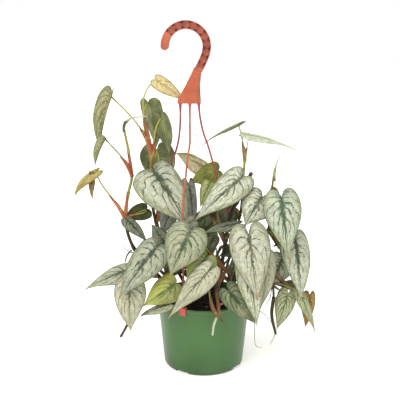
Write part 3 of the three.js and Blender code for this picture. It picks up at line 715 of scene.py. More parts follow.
class Blade:
    """A leaf blade: two marbled halves on a midrib that bends over, quilted between their veins."""

    THICKNESS = 0.55
    MIDRIB_POWER = 2.2
    VEIN_POWER = 1.25
    TAIL_POWER = 6
    QUILT = 1.05
    GROOVE = 0.55
    RIB_DEPTH = 0.9
    RIB_WIDTH = 1.3
    RIB_FADE = 0.75
    WANDER = 0.035
    BOW = 0.02
    WAVE_WIDTH = 45.0
    WAVE_LIMIT = 1.5
    COLUMNS = (12, 19)
    COLUMN_WIDTH = 3.0
    ROWS = (34, 62)
    ROW_LENGTH = 1.7
    EDGE_POWER = 8
    QUILT_WIDTH = 50.0
    UPPER, LOWER = range(2)

    def __init__(self, leaf: Leaf) -> None:
        """Lay the blade from its base to its tip, with its upper side towards its face."""
        self.leaf = leaf
        self.base = Vector(leaf.base)
        self.length = 1.0
        self.curl = math.radians(leaf.bend)
        chord = Vector(leaf.tip) - self.base
        unit_tip = self.bent(0.0, 1.0, 0.0)
        self.length = chord.length / unit_tip.length
        self.turn = axes(chord, Vector(leaf.face)) @ axes(unit_tip, UP).transposed()
        self.normal = self.turn @ UP
        self.seed = self.base * 0.37

    def bent(self, across: float, along: float, rise: float) -> Vector:
        """Bend a place on the flat blade over its midrib's curve."""
        angle = along / self.length * self.curl
        reach = self.length / self.curl + rise
        return Vector((across, reach * math.sin(angle), reach * math.cos(angle) - self.length / self.curl))

    def reach(self, along: float) -> float:
        """Draw out the tip of a length share, or shorten a lobe."""
        tail = self.leaf.tail
        return along * self.leaf.lobe if along < 0 else along * (1 - tail) + tail * along ** self.TAIL_POWER

    def relief(self, side: float, share: float, hand: int, upper: bool) -> float:
        """Find how far the quilted face stands over the blade's middle.

        Args:
            side: 0 on the midrib, 1 on the margin.
            share: 0 at the base, 1 at the tip.
            hand: -1 on the left half, 1 on the right.
            upper: whether it is the upper face.
        Returns:
            The height in millimetres.
        """
        veins = self.leaf.skin.value.veins
        half = self.THICKNESS / 2 * full(side, self.EDGE_POWER)
        flow = (share - VEIN_SWEEP * side ** VEIN_BOW) * veins + VEIN_STAGGER * hand
        bulge = math.sin(math.pi * flow) ** 2
        size = self.leaf.width / self.QUILT_WIDTH
        fade = smooth(side, 0, 0.25) * (1 - smooth(side, 0.65, 1.0)) * (1 - smooth(share, 0.75, 1.0))
        quilt = self.QUILT * size * bulge * fade
        across = side * outline(share)[0] * self.leaf.width / 2
        rib = math.exp(-(across / self.RIB_WIDTH) ** 2) * (1 - self.RIB_FADE * share)
        if upper:
            return quilt + half - self.GROOVE * rib
        return quilt - half - self.RIB_DEPTH * rib

    def drift(self, across: float, along: float, layer: float) -> float:
        """Read soft noise that is this blade's own."""
        return noise.noise(self.seed + Vector((across, along, layer)))

    def surface(self, hand_side: float, share: float, upper: bool) -> Vector:
        """Find a point of the blade's skin.

        Args:
            hand_side: -1 on the left margin, 0 on the midrib, 1 on the right margin.
            share: 0 at the base, 1 at the tip.
            upper: whether the point lies on the upper face.
        Returns:
            The point in millimetres.
        """
        leaf = self.leaf
        side, hand = abs(hand_side), -1 if hand_side < 0 else 1
        edge_x, edge_y = outline(share)
        wander = self.drift(hand * 3.1, share * 5, 0)
        across = side * edge_x * leaf.width / 2 * (1 + self.WANDER * wander)
        midrib = share ** self.MIDRIB_POWER
        middle = self.reach(midrib)
        along = middle + side ** self.VEIN_POWER * (self.reach(edge_y) - middle)
        rise = leaf.fold * across - leaf.arch * across * across / (leaf.width / 2)
        swing = self.drift(hand * 5.7, share * 6.5, 2.0)
        strong = min(leaf.width / self.WAVE_WIDTH, self.WAVE_LIMIT)
        rise += leaf.wave * side * side * swing * strong * smooth(share, 0, 0.1)
        rise += self.relief(side, share, hand, upper)
        bow = self.BOW * leaf.width * self.drift(0, share * 2.2, 7.0) * share
        return self.base + self.turn @ self.bent(hand * across + bow, along * self.length, rise)

    def build(self, name: str, node: str, slot: str = "") -> None:
        """Make the blade in both its faces, for a CAD node."""
        columns = 2 * held(round(self.leaf.width / self.COLUMN_WIDTH), self.COLUMNS)
        rows = held(round(self.length / self.ROW_LENGTH), self.ROWS)
        shape = Shape()

        def place(around: float, share: float) -> Vector:
            """Place a point of the upper face, then of the lower one."""
            hand_side, upper = there_and_back(around)
            return self.surface(hand_side, share, upper)

        shape.closed(2 * columns, rows, place,
                     lambda around, share: self.UPPER if around < 0.5 else self.LOWER)
        shape.finish(name + "_blade", dress(self.leaf.skin), node, slot)


@dataclass(frozen=True)
class Spike:
    """A side piece of a vine, such as a bud, a root stub or a cut end, bent through its middle point."""

    start: Triple
    middle: Triple
    end: Triple
    radius: Pair
    part: Part = Part.STEM


@dataclass(frozen=True)
class Vine:
    """A stem from the soil, with the leaves that its nodes bear.

    The CAD model has a node for each of the leaves. The inner ones and the spikes belong to the vine's own.
    """

    name: str
    kind: Bark
    radius: Pair
    route: tuple[Triple, ...]
    leaves: tuple[Leaf, ...]
    spikes: tuple[Spike, ...] = ()
    inner: tuple[Leaf, ...] = ()

    SWELL = 0.32
    SWELL_REACH = 0.1
    FIRST_NODE = 2
    STALK_RADIUS = (1.5, 1.15)
    SHEATH_RADIUS = (2.7, 1.65)
    SHORT_STALK = 60.0
    THINNEST = 0.6
    SHEATH_SHARE = 0.52
    SHEATH_WALL = 0.45
    HANDLE = 0.38
    STEM_PULL = 0.8
    LIFT = 0.4
    SUNK = 2.0
    BURIED = 22.0
    CLOSE_SHARE = 0.012
    CLOSE_SIZE = 0.35
    JOINT_PLACE = 0.965
    JOINT_REACH = 0.022
    JOINT_SWELL = 0.28
    SHEATH_SPREAD = math.radians(168)
    SHEATH_TAPER = 0.18
    SHEATH_POINT = 0.05
    SHEATH_BULGE = 0.5
    SHEATH_FLARE = 0.35
    STEM_STEPS = 12
    STEM_SIDES = 14
    STALK_STEPS = 26
    STALK_SIDES = 10
    SHEATH_STEPS = 22
    SHEATH_SIDES = 32
    SPIKE_STEPS = 16
    SPIKE_SIDES = 10

    def stem_radius(self, share: float) -> float:
        """Find the stem's radius, which swells at each node."""
        start, end = self.radius
        spans = len(self.route) - 1
        place = share * spans
        off = (place - round(place)) / self.SWELL_REACH
        swell = self.SWELL * math.exp(-off ** 2) if round(place) >= self.FIRST_NODE else 0.0
        close = self.CLOSE_SIZE + (1 - self.CLOSE_SIZE) * smooth(1 - share, 0, self.CLOSE_SHARE)
        return (start + (end - start) * share) * (1 + swell) * close

    def stalk(self, leaf: Leaf, blade: Blade) -> Bezier:
        """Lay the line of a leaf's stalk from its node to its blade."""
        start = Vector(self.route[leaf.node])
        last = len(self.route) - 1
        along = Vector(self.route[min(leaf.node + 1, last)]) - Vector(self.route[leaf.node - 1])
        arrive = Vector(leaf.arrive) if leaf.arrive else blade.normal + self.LIFT * UP
        arrive.normalize()
        tilt = math.sin(arrive.angle(blade.normal))
        end = blade.base - blade.normal * (Blade.THICKNESS / 2 + self.STALK_RADIUS[1] * tilt)
        line = end - start
        leave = Vector(leaf.leave) if leaf.leave else self.STEM_PULL * along.normalized() + line.normalized()
        leave.normalize()
        handle = self.HANDLE * line.length
        return Bezier(start - self.SUNK * leave, start + handle * leave, end - handle * arrive, end)

    def add_stalk(self, shape: Shape, line: Bezier, toward: Vector) -> None:
        """Add a stalk, and round its lower half a sheath that opens the way toward looks."""
        thick, thin = self.STALK_RADIUS
        scale = max(min((line.end - line.start).length / self.SHORT_STALK, 1.0), self.THINNEST)

        def radius(share: float) -> float:
            """Taper the stalk, and swell it at the joint under its blade."""
            joint = math.exp(-((share - self.JOINT_PLACE) / self.JOINT_REACH) ** 2)
            return (thick + (thin - thick) * share) * (1 + self.JOINT_SWELL * joint) * scale

        shape.tube(line.at, radius, self.STALK_STEPS, self.STALK_SIDES, Part.STALK, hint=toward)
        steps = self.SHEATH_STEPS
        rings = sections(lambda share: line.at(share * self.SHEATH_SHARE), steps, toward)

        def wrap(around: float, along: float) -> Vector:
            """Wrap the sheath round the stalk, open on one side and closing to a point."""
            side, outer = there_and_back(around)
            middle, out, across = rings[round(along * steps)]
            spread = self.SHEATH_SPREAD * (1 - along ** 5) * (1 - self.SHEATH_TAPER * along)
            start, end = self.SHEATH_RADIUS
            bulge = self.SHEATH_BULGE * math.sin(math.pi * along) + self.SHEATH_FLARE * along * side * side
            size = start + (end - start) * along + bulge + (self.SHEATH_WALL if outer else 0.0)
            angle = math.pi + side * (spread + self.SHEATH_POINT)
            return middle + (out * math.cos(angle) + across * math.sin(angle)) * (size * scale)

        shape.closed(self.SHEATH_SIDES, steps, wrap, Part.SHEATH)

    def build(self) -> None:
        """Make the stem with its stalks and sheaths, and every blade."""
        node = "vine_" + self.name
        shape = Shape()
        stem = Spline.through(*self.route)
        buried = self.BURIED / (Vector(self.route[1]) - Vector(self.route[0])).length / (len(self.route) - 1)
        shape.tube(lambda share: stem.at(buried + share * (1 - buried)),
                   lambda share: self.stem_radius(buried + share * (1 - buried)),
                   self.STEM_STEPS * (len(self.route) - 1), self.STEM_SIDES)
        for spike in self.spikes:
            line = Spline.through(spike.start, spike.middle, spike.end)
            start, end = spike.radius
            shape.tube(line.at, lambda share, start=start, end=end: start + (end - start) * share,
                       self.SPIKE_STEPS, self.SPIKE_SIDES, spike.part)
        last = len(self.route) - 1
        for number, leaf in enumerate((*self.leaves, *self.inner), 1):
            blade = Blade(leaf)
            upward = Vector(self.route[min(leaf.node + 1, last)]) - Vector(self.route[leaf.node - 1])
            if not leaf.bare:
                self.add_stalk(shape, self.stalk(leaf, blade), upward)
            if number <= len(self.leaves):
                own = f"leaf_{self.name}_{number}"
                blade.build(own, own)
            else:
                blade.build(f"{node}_inner_{number - len(self.leaves)}", node, "leaf_green")
        shape.finish(node + "_stem", bark(self.kind), node)


VINES = (
    Vine("left", Bark.RED, (3.1, 1.7),
         ((-34, -6, 74), (-40, -8, 112), (-74, -16, 152), (-112, -22, 200), (-126, -18, 248),
          (-121, -12, 287), (-115, -7, 317), (-120, -5, 358), (-126, -5, 392), (-124, -5, 402)), (
             Leaf(6, (-151, -38, 378), (-167, -46, 337), (-0.8, -0.6, 0.2), 22, Skin.OLIVE_GREY,
                  fold=0.9, arch=0.3, lobe=0.5),
             Leaf(4, (-171, -15, 324), (-205, -25, 284), (-0.4, -0.5, 0.8), 28, Skin.TAN, bend=50),
             Leaf(2, (-122, -45, 171), (-189, -62, 143), (-0.1, -0.8, 0.9), 36, Skin.BANDED, tail=0.2),
             Leaf(4, (-120, -36, 250), (-89, -42, 215), (0.2, -0.5, 0.9), 26, Skin.DUSKY),
             Leaf(4, (-92, -5, 262), (-133, 0, 241), (0.1, 0.9, 0.4), 33, Skin.OLIVE, lobe=0.5)),
         (Spike((-126, -5, 386), (-126, -5, 395), (-123, -5, 403), (2.5, 2.4), Part.KNOT),
          Spike((-126, -18, 247), (-124, -15, 268), (-121, -12, 291), (3.6, 2.3), Part.SHEATH),
          Spike((-115, -7, 315), (-117, -6, 334), (-120, -5, 356), (3.3, 2.2), Part.SHEATH),
          Spike((-124, -5, 400), (-113, -6, 408), (-89, -6, 411), (2.6, 0.6), Part.BUD),
          Spike((-117, -17, 196), (-124, -17, 188), (-128, -17, 176), (1.6, 0.9)),
          Spike((-113, -18, 191), (-124, -20, 197), (-133, -22, 206), (1.2, 0.5), Part.BUD)),
         (Leaf(4, (-178, -19, 319), (-176, -22, 279), (-0.5, -0.7, 0.4), 15, Skin.CLAW, bare=True),)),
    Vine("middle_left", Bark.ORANGE, (3.0, 2.4),
         ((-20, 8, 74), (-24, 10, 112), (-52, 12, 170), (-78, 10, 235), (-86, 8, 291), (-84, 12, 330)), (
             Leaf(5, (-144, -10, 441), (-163, -18, 358), (-0.78, -0.62, 0.1), 40, Skin.OLIVE_GREY,
                  fold=0.9, arch=0.3, leave=(0.05, 0, 1)),
             Leaf(5, (-76, 18, 467), (-28, 16, 432), (0.3, -0.9, 0.4), 27, Skin.CREAM_SPOTTED,
                  lobe=0.5, arrive=(0.8, 0, 0.5)),
             Leaf(5, (-91, 40, 429), (-80, 48, 352), (0.6, 0.8, 0.2), 48, Skin.OLIVE_BELOW,
                  fold=0.5, arch=0.3, lobe=0.6),
             Leaf(5, (-69, 28, 406), (-57, 32, 347), (0.6, 0.8, 0.2), 40, Skin.OLIVE_BELOW),
             Leaf(4, (-78, 50, 351), (-67, 46, 279), (0.1, 0.8, 0.3), 60, Skin.OLIVE_BELOW),
             Leaf(4, (-79, -22, 325), (-24, -36, 237), (0.6, -0.8, 0.6), 90, lobe=0.6),
             Leaf(3, (-77, 74, 308), (-71, 98, 237), (-0.2, 1, 0.3), 52, leave=(0, 1, 0.2)),
             Leaf(3, (-24, 14, 297), (-19, 1, 224), (0.75, -0.66, 0.2), 38, Skin.MAUVE)),
         inner=(Leaf(3, (-52, 14, 263), (-70, 4, 214), (0.2, -1, 0.2), 34, Skin.MAUVE),
                Leaf(2, (4, 30, 242), (-23, 24, 223), (0, -1, 0.3), 28, Skin.SHADED))),
    Vine("tall_right", Bark.OLIVE, (2.4, 1.9),
         ((24, 6, 74), (26, 8, 112), (44, 10, 180), (60, 10, 249), (64, 14, 298), (67, 18, 339)), (
             Leaf(5, (56, 22, 397), (-12, 14, 355), (0.1, 0.25, 1), 26, Skin.EDGE_ON, tail=0.25),
             Leaf(5, (73, 18, 379), (157, 8, 351), (0.1, -0.3, 1), 31, Skin.PALE, tail=0.3),
             Leaf(4, (59, -30, 317), (-15, -48, 251), (-0.1, -1, 0.6), 52, tail=0.12, lobe=0.7),
             Leaf(2, (2, 46, 321), (-49, 50, 347), (0.15, -0.5, 0.8), 44, Skin.OCHRE_RIM,
                  lobe=0.3, leave=(-0.3, 0.55, 0.8)),
             Leaf(3, (42, 58, 248), (-4, 72, 194), (0.1, 1, 0.3), 50, Skin.GREEN)),
         inner=(Leaf(3, (44, 22, 259), (19, 14, 234), (0, -1, 0.3), 26, Skin.OLIVE),
                Leaf(2, (52, 4, 211), (46, -4, 174), (0.2, -1, 0.2), 18, Skin.SHADED),
                Leaf(4, (11, 24, 301), (-6, 20, 259), (-0.2, -1, 0.2), 26, Skin.OLIVE_FOLD, lobe=0.2,
                     bare=True))),
    Vine("cut", Bark.CUT, (3.4, 3.0),
         ((16, -14, 74), (18, -14, 112), (28, -10, 160), (36, -5, 210), (44, -5, 252), (63, -5, 293),
          (77, -5, 322)), (
             Leaf(3, (24, 34, 319), (-23, 28, 298), (-0.3, 0.7, 0.3), 50, Skin.OLIVE_FOLD,
                  lobe=0.6, leave=(-0.6, 0.3, 1)),
             Leaf(4, (48, 32, 273), (7, 38, 236), (0.2, 0.8, 0.4), 32, Skin.BROWN_OLIVE),
             Leaf(3, (54, -35, 244), (-2, -52, 232), (0.05, -0.35, 1), 30, Skin.DUSKY),
             Leaf(5, (91, -38, 288), (64, -50, 244), (-0.1, -1, 0.5), 58)),
         (Spike((75, -5, 297), (81, -8, 294), (84, -8, 285), (0.7, 0.3)),
          Spike((74, -5, 294), (79, -9, 300), (84, -10, 302), (0.6, 0.3))),
         (Leaf(2, (17, 2, 212), (2, -8, 184), (-0.1, -1, 0.3), 22, Skin.SHADED),
          Leaf(2, (48, -2, 192), (24, -10, 183), (0, -0.8, 0.6), 18, Skin.SHADED))),
    Vine("right", Bark.RIGHT, (2.6, 1.6),
         ((44, -2, 74), (48, -4, 112), (80, -10, 165), (104, -15, 229), (108, -20, 296), (111, -20, 324)), (
             Leaf(4, (118, -62, 289), (128, -86, 199), (-0.1, -1, 0.35), 58, Skin.BLOTCHED, tail=0.16),
             Leaf(3, (144, -38, 219), (151, -70, 130), (0.3, -1, 0.3), 50),
             Leaf(3, (127, -21, 182), (107, -33, 136), (-0.2, -1, 0.3), 46),
             Leaf(4, (134, 38, 268), (145, 66, 188), (0.3, 1, 0.3), 50)),
         (Spike((111, -20, 310), (111, -20, 320), (112, -20, 328), (3.1, 1.9), Part.STALK),
          Spike((111.5, -20, 324), (115, -20, 340), (123, -20, 357), (2.2, 0.4), Part.BUD)),
         (Leaf(3, (142, 4, 211), (113, -2, 197), (0, -0.6, 0.8), 18, Skin.SHADED),)),
    Vine("front", Bark.RUST, (3.0, 2.6),
         ((26, -22, 74), (30, -26, 112), (41, -40, 150), (36, -56, 173), (25, -71, 163), (20, -84, 146),
          (22, -91, 130), (23, -93, 112)), (
             Leaf(3, (-21, -80, 242), (-51, -100, 179), (0, -1, 0.4), 64, Skin.LIME_RIM),
             Leaf(4, (3, -76, 201), (-27, -92, 159), (0.1, -1, 0.5), 44, Skin.LIME),
             Leaf(7, (6, -95, 184), (-54, -112, 116), (-0.2, -1, 0.5), 40, Skin.CREAM, tail=0.2),
             Leaf(6, (38, -86, 151), (79, -98, 102), (0.1, -1, 0.4), 38, Skin.STRIPED_GREEN)),
         (Spike((36, -56, 171), (37, -58, 178), (39, -60, 184), (2.7, 2.1)),
          Spike((22, -93, 116), (16, -94, 102), (13, -95, 83), (2.2, 1.5), Part.BUD),
          Spike((23, -93, 113), (30, -93, 101), (38, -92, 84), (0.9, 0.3))),
         (Leaf(2, (-6, -20, 177), (-24, -34, 136), (0, -1, 0.3), 34, Skin.SHADED),
          Leaf(2, (56, -12, 174), (43, -24, 132), (0.1, -1, 0.2), 24, Skin.SHADED),
          Leaf(3, (-17, -46, 252), (-38, -54, 236), (0, -0.7, 0.7), 26, Skin.DUSKY))),
    Vine("low_right", Bark.BROWN, (2.8, 1.8),
         ((40, -18, 74), (44, -22, 112), (66, -34, 165), (84, -42, 200), (104, -48, 178),
          (110, -46, 146), (112, -44, 124)), (
             Leaf(3, (67, -86, 240), (80, -107, 143), (0, -1, 0.4), 62, Skin.CREAM_BROWN_TIP),
             Leaf(2, (67, -80, 195), (80, -106, 103), (0, -1, 0.3), 44),
             Leaf(3, (96, -60, 196), (88, -82, 122), (0.3, -1, 0.3), 40, Skin.CREAM),
             Leaf(4, (158, -12, 137), (115, -18, 137), (0, 0.9, 0.5), 26, Skin.OLIVE),
             Leaf(5, (134, -46, 132), (115, -64, 79), (0, -1, 0.3), 32, Skin.STRIPED_PALE,
                  leave=(0.3, 0.8, -0.3)),
             Leaf(5, (151, -56, 137), (175, -72, 76), (0.4, -0.7, 0.6), 22, Skin.STRIPED_PALE, tail=0.15,
                  leave=(0.5, -0.3, 1), arrive=(0.5, -0.85, 0.05)),
             Leaf(4, (171, -34, 124), (163, -44, 74), (0.6, -1, 0.3), 30, Skin.GOLDEN)),
         (Spike((112, -44, 126), (109, -47, 97), (116, -48, 65), (3.3, 2.1)),
          Spike((116, -48, 67), (112, -48, 57), (107, -48, 46), (0.6, 0.3)),
          Spike((78, -88, 108), (79, -92, 68), (89, -94, 62), (0.5, 0.25)),
          Spike((84, -62, 112), (98, -61, 102), (107, -60, 90), (0.6, 0.3)),
          Spike((108, -46, 142), (105, -52, 128), (99, -54, 118), (0.8, 0.5)))),
    Vine("low_left", Bark.BROWN, (2.8, 2.0),
         ((-30, -26, 74), (-34, -30, 112), (-58, -48, 160), (-84, -58, 180), (-104, -66, 140),
          (-116, -74, 100), (-130, -80, 73)), (
             Leaf(3, (-75, -68, 212), (-127, -107, 146), (-0.3, -1, 0.4), 54, Skin.DEEP_SILVER),
             Leaf(4, (-114, -84, 160), (-111, -102, 92), (-0.15, -1, 0.5), 50, Skin.CREAM),
             Leaf(2, (-43, -72, 158), (-93, -88, 127), (0, -1, 0.5), 46, Skin.YELLOW_HALF, lobe=0.5),
             Leaf(1, (-55, -82, 127), (-101, -88, 109), (0, -0.15, 1), 30, Skin.DARK_RIM,
                  leave=(-0.3, -0.4, 1))),
         inner=(Leaf(2, (-42, -14, 187), (-62, -26, 146), (0.1, -1, 0.3), 40, Skin.SHADED),
                Leaf(3, (-65, -28, 216), (-84, -22, 241), (-0.3, -0.6, 0.7), 26, Skin.DUSKY))),
    Vine("back", Bark.BROWN, (3.0, 2.4), ((2, 36, 74), (4, 38, 112), (16, 52, 150), (30, 58, 180)), (
        Leaf(1, (-93, 55, 185), (-111, 85, 108), (-0.3, 1, 0.4), 46),
        Leaf(2, (-38, 70, 198), (-32, 98, 123), (0, 1, 0.4), 50),
        Leaf(2, (2, 84, 204), (2, 108, 122), (0.1, 1, 0.3), 50),
        Leaf(3, (82, 68, 187), (93, 100, 96), (0.2, 1, 0.4), 52))),
)


@dataclass(frozen=True)
class NurseryPot:
    """The moulded pot: a thin tapered wall with a thicker rim, a round foot corner and four drain notches.

    The rim's section is given from its outer top corner, outwards and up.
    """

    RIM = ((-0.5, -4.5), (0.0, -3.7), (0.0, -1.0), (-0.7, -0.15), (-1.4, 0.0), (-2.1, -0.2), (-2.6, -0.8))
    WALL_HEIGHTS = (20, 40, 60, 80, 95)

    height: float = 115.0
    rim_radius: float = 77.5
    foot_radius: float = 66.0
    foot_corner: float = 5.0
    wall: float = 1.8
    rim_step: float = 1.0
    rim_height: float = 5.0
    floor: float = 2.4
    notches: int = 4
    first_notch: float = -123.0
    notch_size: Triple = (11.0, 24.0, 5.0)
    notch_over: Pair = (4.0, 2.0)
    notch_round: float = 2.2
    steps: int = 144

    def profile(self) -> list[Pair]:
        """List the wall's section as radius and height, from the middle of the foot round to the floor."""
        corner = self.foot_corner
        outer = self.rim_radius - self.rim_step
        rim = self.height - self.rim_height
        arc = [(self.foot_radius - corner + corner * math.sin(math.radians(turn)),
                corner - corner * math.cos(math.radians(turn))) for turn in range(0, 76, 15)]
        slope = (outer - self.foot_radius) / (rim - corner)
        wall = [(self.foot_radius + slope * (height - corner), height)
                for height in (corner + 2, *self.WALL_HEIGHTS, rim - 2, rim)]
        top = [(self.rim_radius + out, self.height + up) for out, up in self.RIM]
        inside = [(outer - self.wall, rim - 1), (self.foot_radius - self.wall + slope * 35, 40),
                  (self.foot_radius - self.wall - 0.6, corner + 2), (self.foot_radius - 6, self.floor),
                  (0, self.floor)]
        return [(0, 0), (self.foot_radius - 12, 0), *arc, *wall, *top, *inside]

    def material(self) -> bpy.types.Material:
        """Make the green plastic: soft streaks, faint flow rings near the foot, scuffs and dust, over painted
        shade that darkens it towards the foot and most along the foot's edge.
        """
        paint = Paint("pot_green_plastic", 0.36, 0.4)
        height = paint.height()
        drift = paint.noise(45, detail=2)
        fine = paint.noise(2.2, detail=3)
        rings = paint.ridges(drift * 2, 0.0, height * 0.35)
        # Painted shade: the green is darker towards the foot and lighter from 70 mm up.
        colour = paint.mix(height.rise(0, 70), "27491b", "3a5f2c")
        colour = paint.mix((drift + rings * 0.3).rise(-0.2, 0.2) * 0.5, colour, "3e6633")
        dust = (paint.noise(6, detail=4) + fine * 0.4).rise(0.2, 0.34) * 0.3
        colour = paint.mix(dust, colour, "8fa588")
        # Painted shade along the foot, where the wall turns under, broken up by noise: a wide band, then a
        # darker narrow one.
        colour = paint.mix((1 - height.rise(0, 9)) * (fine + 0.5) * 0.7, colour, "3a4a26")
        marks = paint.noise(3.2, detail=1).rise(0.24, 0.3) * (1 - height.rise(30, 55)) * 0.6
        colour = paint.mix(marks, colour, "2c4424")
        foot_shade = (1 - height.rise(2, 6)) * (fine + drift + 0.6)
        colour = paint.mix(foot_shade, colour, "27321a")
        rough = paint.mix(dust * 2, (0.33, 0.33, 0.33, 1), (0.6, 0.6, 0.6, 1))
        return paint.done(colour, rings * 0.5 + fine * 0.35 + 0.5, 0.12, roughness=rough)

    def build(self) -> None:
        """Spin the wall, cut the notches and dress the pot."""
        shape = Shape()
        points = [shape.mesh.verts.new((radius, 0, height)) for radius, height in self.profile()]
        edges = [shape.mesh.edges.new(pair) for pair in zip(points, points[1:])]
        bmesh.ops.spin(shape.mesh, geom=[*points, *edges], cent=(0, 0, 0), axis=(0, 0, 1), dvec=(0, 0, 0),
                       angle=math.tau, steps=self.steps, use_merge=True)
        bmesh.ops.remove_doubles(shape.mesh, verts=shape.mesh.verts[:], dist=SEAM)
        for face in shape.mesh.faces:
            face.smooth = True
        pot = shape.finish("nursery_pot", [self.material()], "pot")
        cutter = Shape()
        for number in range(self.notches):
            turn = Matrix.Rotation(math.radians(self.first_notch + 360 * number / self.notches), 4, "Z")
            depth, width, height = self.notch_size
            out, down = self.notch_over
            place = Matrix.Translation((self.foot_radius - (depth - out) / 2, 0, (height - down) / 2))
            size = Matrix.Diagonal((depth + out, width, height + down, 1))
            cube = bmesh.ops.create_cube(cutter.mesh, size=1, matrix=turn @ place @ size)
            sides = dict.fromkeys(edge for point in cube["verts"] for edge in point.link_edges)
            high = [edge for edge in sides if all(end.co.z > height / 2 for end in edge.verts)]
            bmesh.ops.bevel(cutter.mesh, geom=high, offset=self.notch_round, offset_type="OFFSET",
                            affect="EDGES", segments=4, profile=0.5, material=-1)
        bmesh.ops.scale(cutter.mesh, vec=(MM, MM, MM), verts=cutter.mesh.verts[:])
        carve(pot, cutter.mesh)


def carve(piece: bpy.types.Object, cutter: bmesh.types.BMesh) -> None:
    """Cut a mesh, in metres, out of a piece for good."""
    tool = put_mesh("cutter", cutter)
    cut = piece.modifiers.new("notches", "BOOLEAN")
    cut.operation = "DIFFERENCE"
    cut.solver = "EXACT"
    cut.object = tool
    bpy.context.view_layer.update()
    shown = piece.evaluated_get(bpy.context.evaluated_depsgraph_get())
    result = bpy.data.meshes.new_from_object(shown)
    piece.modifiers.clear()
    piece.data = result
    bpy.data.objects.remove(tool)


@dataclass(frozen=True)
class PottingMix:
    """The dark crumbly mix in the pot, with bark chips and a little white perlite on it."""

    CHIP, GRIT = 1, 2
    ROUGHNESS = (0.8, 2.1, 4)

    top: float = 101.0
    bottom: float = 3.0
    radius: float = 73.3
    foot: float = 63.5
    crown: float = 3.0
    chips: int = 130
    perlite: int = 26
    seed: int = 11
    shoulder: float = 6.0
    foot_share: float = 0.2
    wall_share: float = 0.4
    lump: float = 1.6
    lump_scale: float = 0.09
    slump: float = 3.0
    slump_share: Pair = (0.9, 1.0)
    reach: float = 0.94
    chip_size: Pair = (1.6, 4.2)
    grit_size: Pair = (1.2, 2.2)
    chip_width: Pair = (0.5, 0.9)
    chip_depth: Pair = (0.3, 0.7)
    chip_lift: float = 0.2
    sides: int = 72
    rows: int = 40

    def material(self, name: str, dark: str, light: str, size: float) -> bpy.types.Material:
        """Make one crumbly finish between two browns."""
        paint = Paint(name, 0.9, 0.2)
        lumps = paint.noise(size, detail=5)
        return paint.done(paint.mix(lumps.rise(-0.12, 0.2), dark, light), lumps + 0.5, 1.2)

    def surface(self, x: float, y: float) -> float:
        """Find the height of the lumpy top."""
        out = math.hypot(x, y) / self.radius
        rough = self.lump * noise.fractal(Vector((x, y, 0)) * self.lump_scale, *self.ROUGHNESS)
        return self.top + self.crown * (1 - out * out) + rough - self.slump * smooth(out, *self.slump_share)

    def build(self) -> None:
        """Make the body of the mix and scatter its chips."""
        shape = Shape()

        def place(around: float, along: float) -> Vector:
            """Go out along the foot, up the wall, and in over the lumpy top."""
            angle = math.tau * around
            if along < self.foot_share:
                radius, height = self.foot * along / self.foot_share, self.bottom
            elif along < self.wall_share:
                share = (along - self.foot_share) / (self.wall_share - self.foot_share)
                radius = self.foot + (self.radius - self.foot) * share
                height = self.bottom + (self.top - self.shoulder - self.bottom) * share
            else:
                radius = self.radius * (1 - (along - self.wall_share) / (1 - self.wall_share))
                height = self.surface(radius * math.cos(angle), radius * math.sin(angle))
            return Vector((radius * math.cos(angle), radius * math.sin(angle), height))

        shape.closed(self.sides, self.rows, place)
        draw = random.Random(self.seed)
        for number in range(self.chips + self.perlite):
            white = number >= self.chips
            angle, out = draw.uniform(0, math.tau), self.radius * self.reach * math.sqrt(draw.random())
            x, y = out * math.cos(angle), out * math.sin(angle)
            size = draw.uniform(*(self.grit_size if white else self.chip_size))
            spin = Matrix.Rotation(draw.uniform(0, math.tau), 4, Vector((draw.random(), draw.random(), 1)))
            width, depth = size * draw.uniform(*self.chip_width), size * draw.uniform(*self.chip_depth)
            height = self.surface(x, y) + self.chip_lift * size
            spot = Matrix.Translation((x, y, height)) @ spin @ Matrix.Diagonal((size, width, depth, 1))
            made = bmesh.ops.create_icosphere(shape.mesh, subdivisions=1, radius=1, matrix=spot)
            for face in dict.fromkeys(face for point in made["verts"] for face in point.link_faces):
                face.material_index = self.GRIT if white else self.CHIP
        mix = self.material("potting_mix", "0d0907", "2c1f17", 3.0)
        bark_chip = self.material("bark_chips", "1c120c", "4a3322", 5.0)
        grit = self.material("perlite", "a9a397", "d8d4ca", 2.0)
        shape.finish("potting_mix", [mix, bark_chip, grit], "soil")


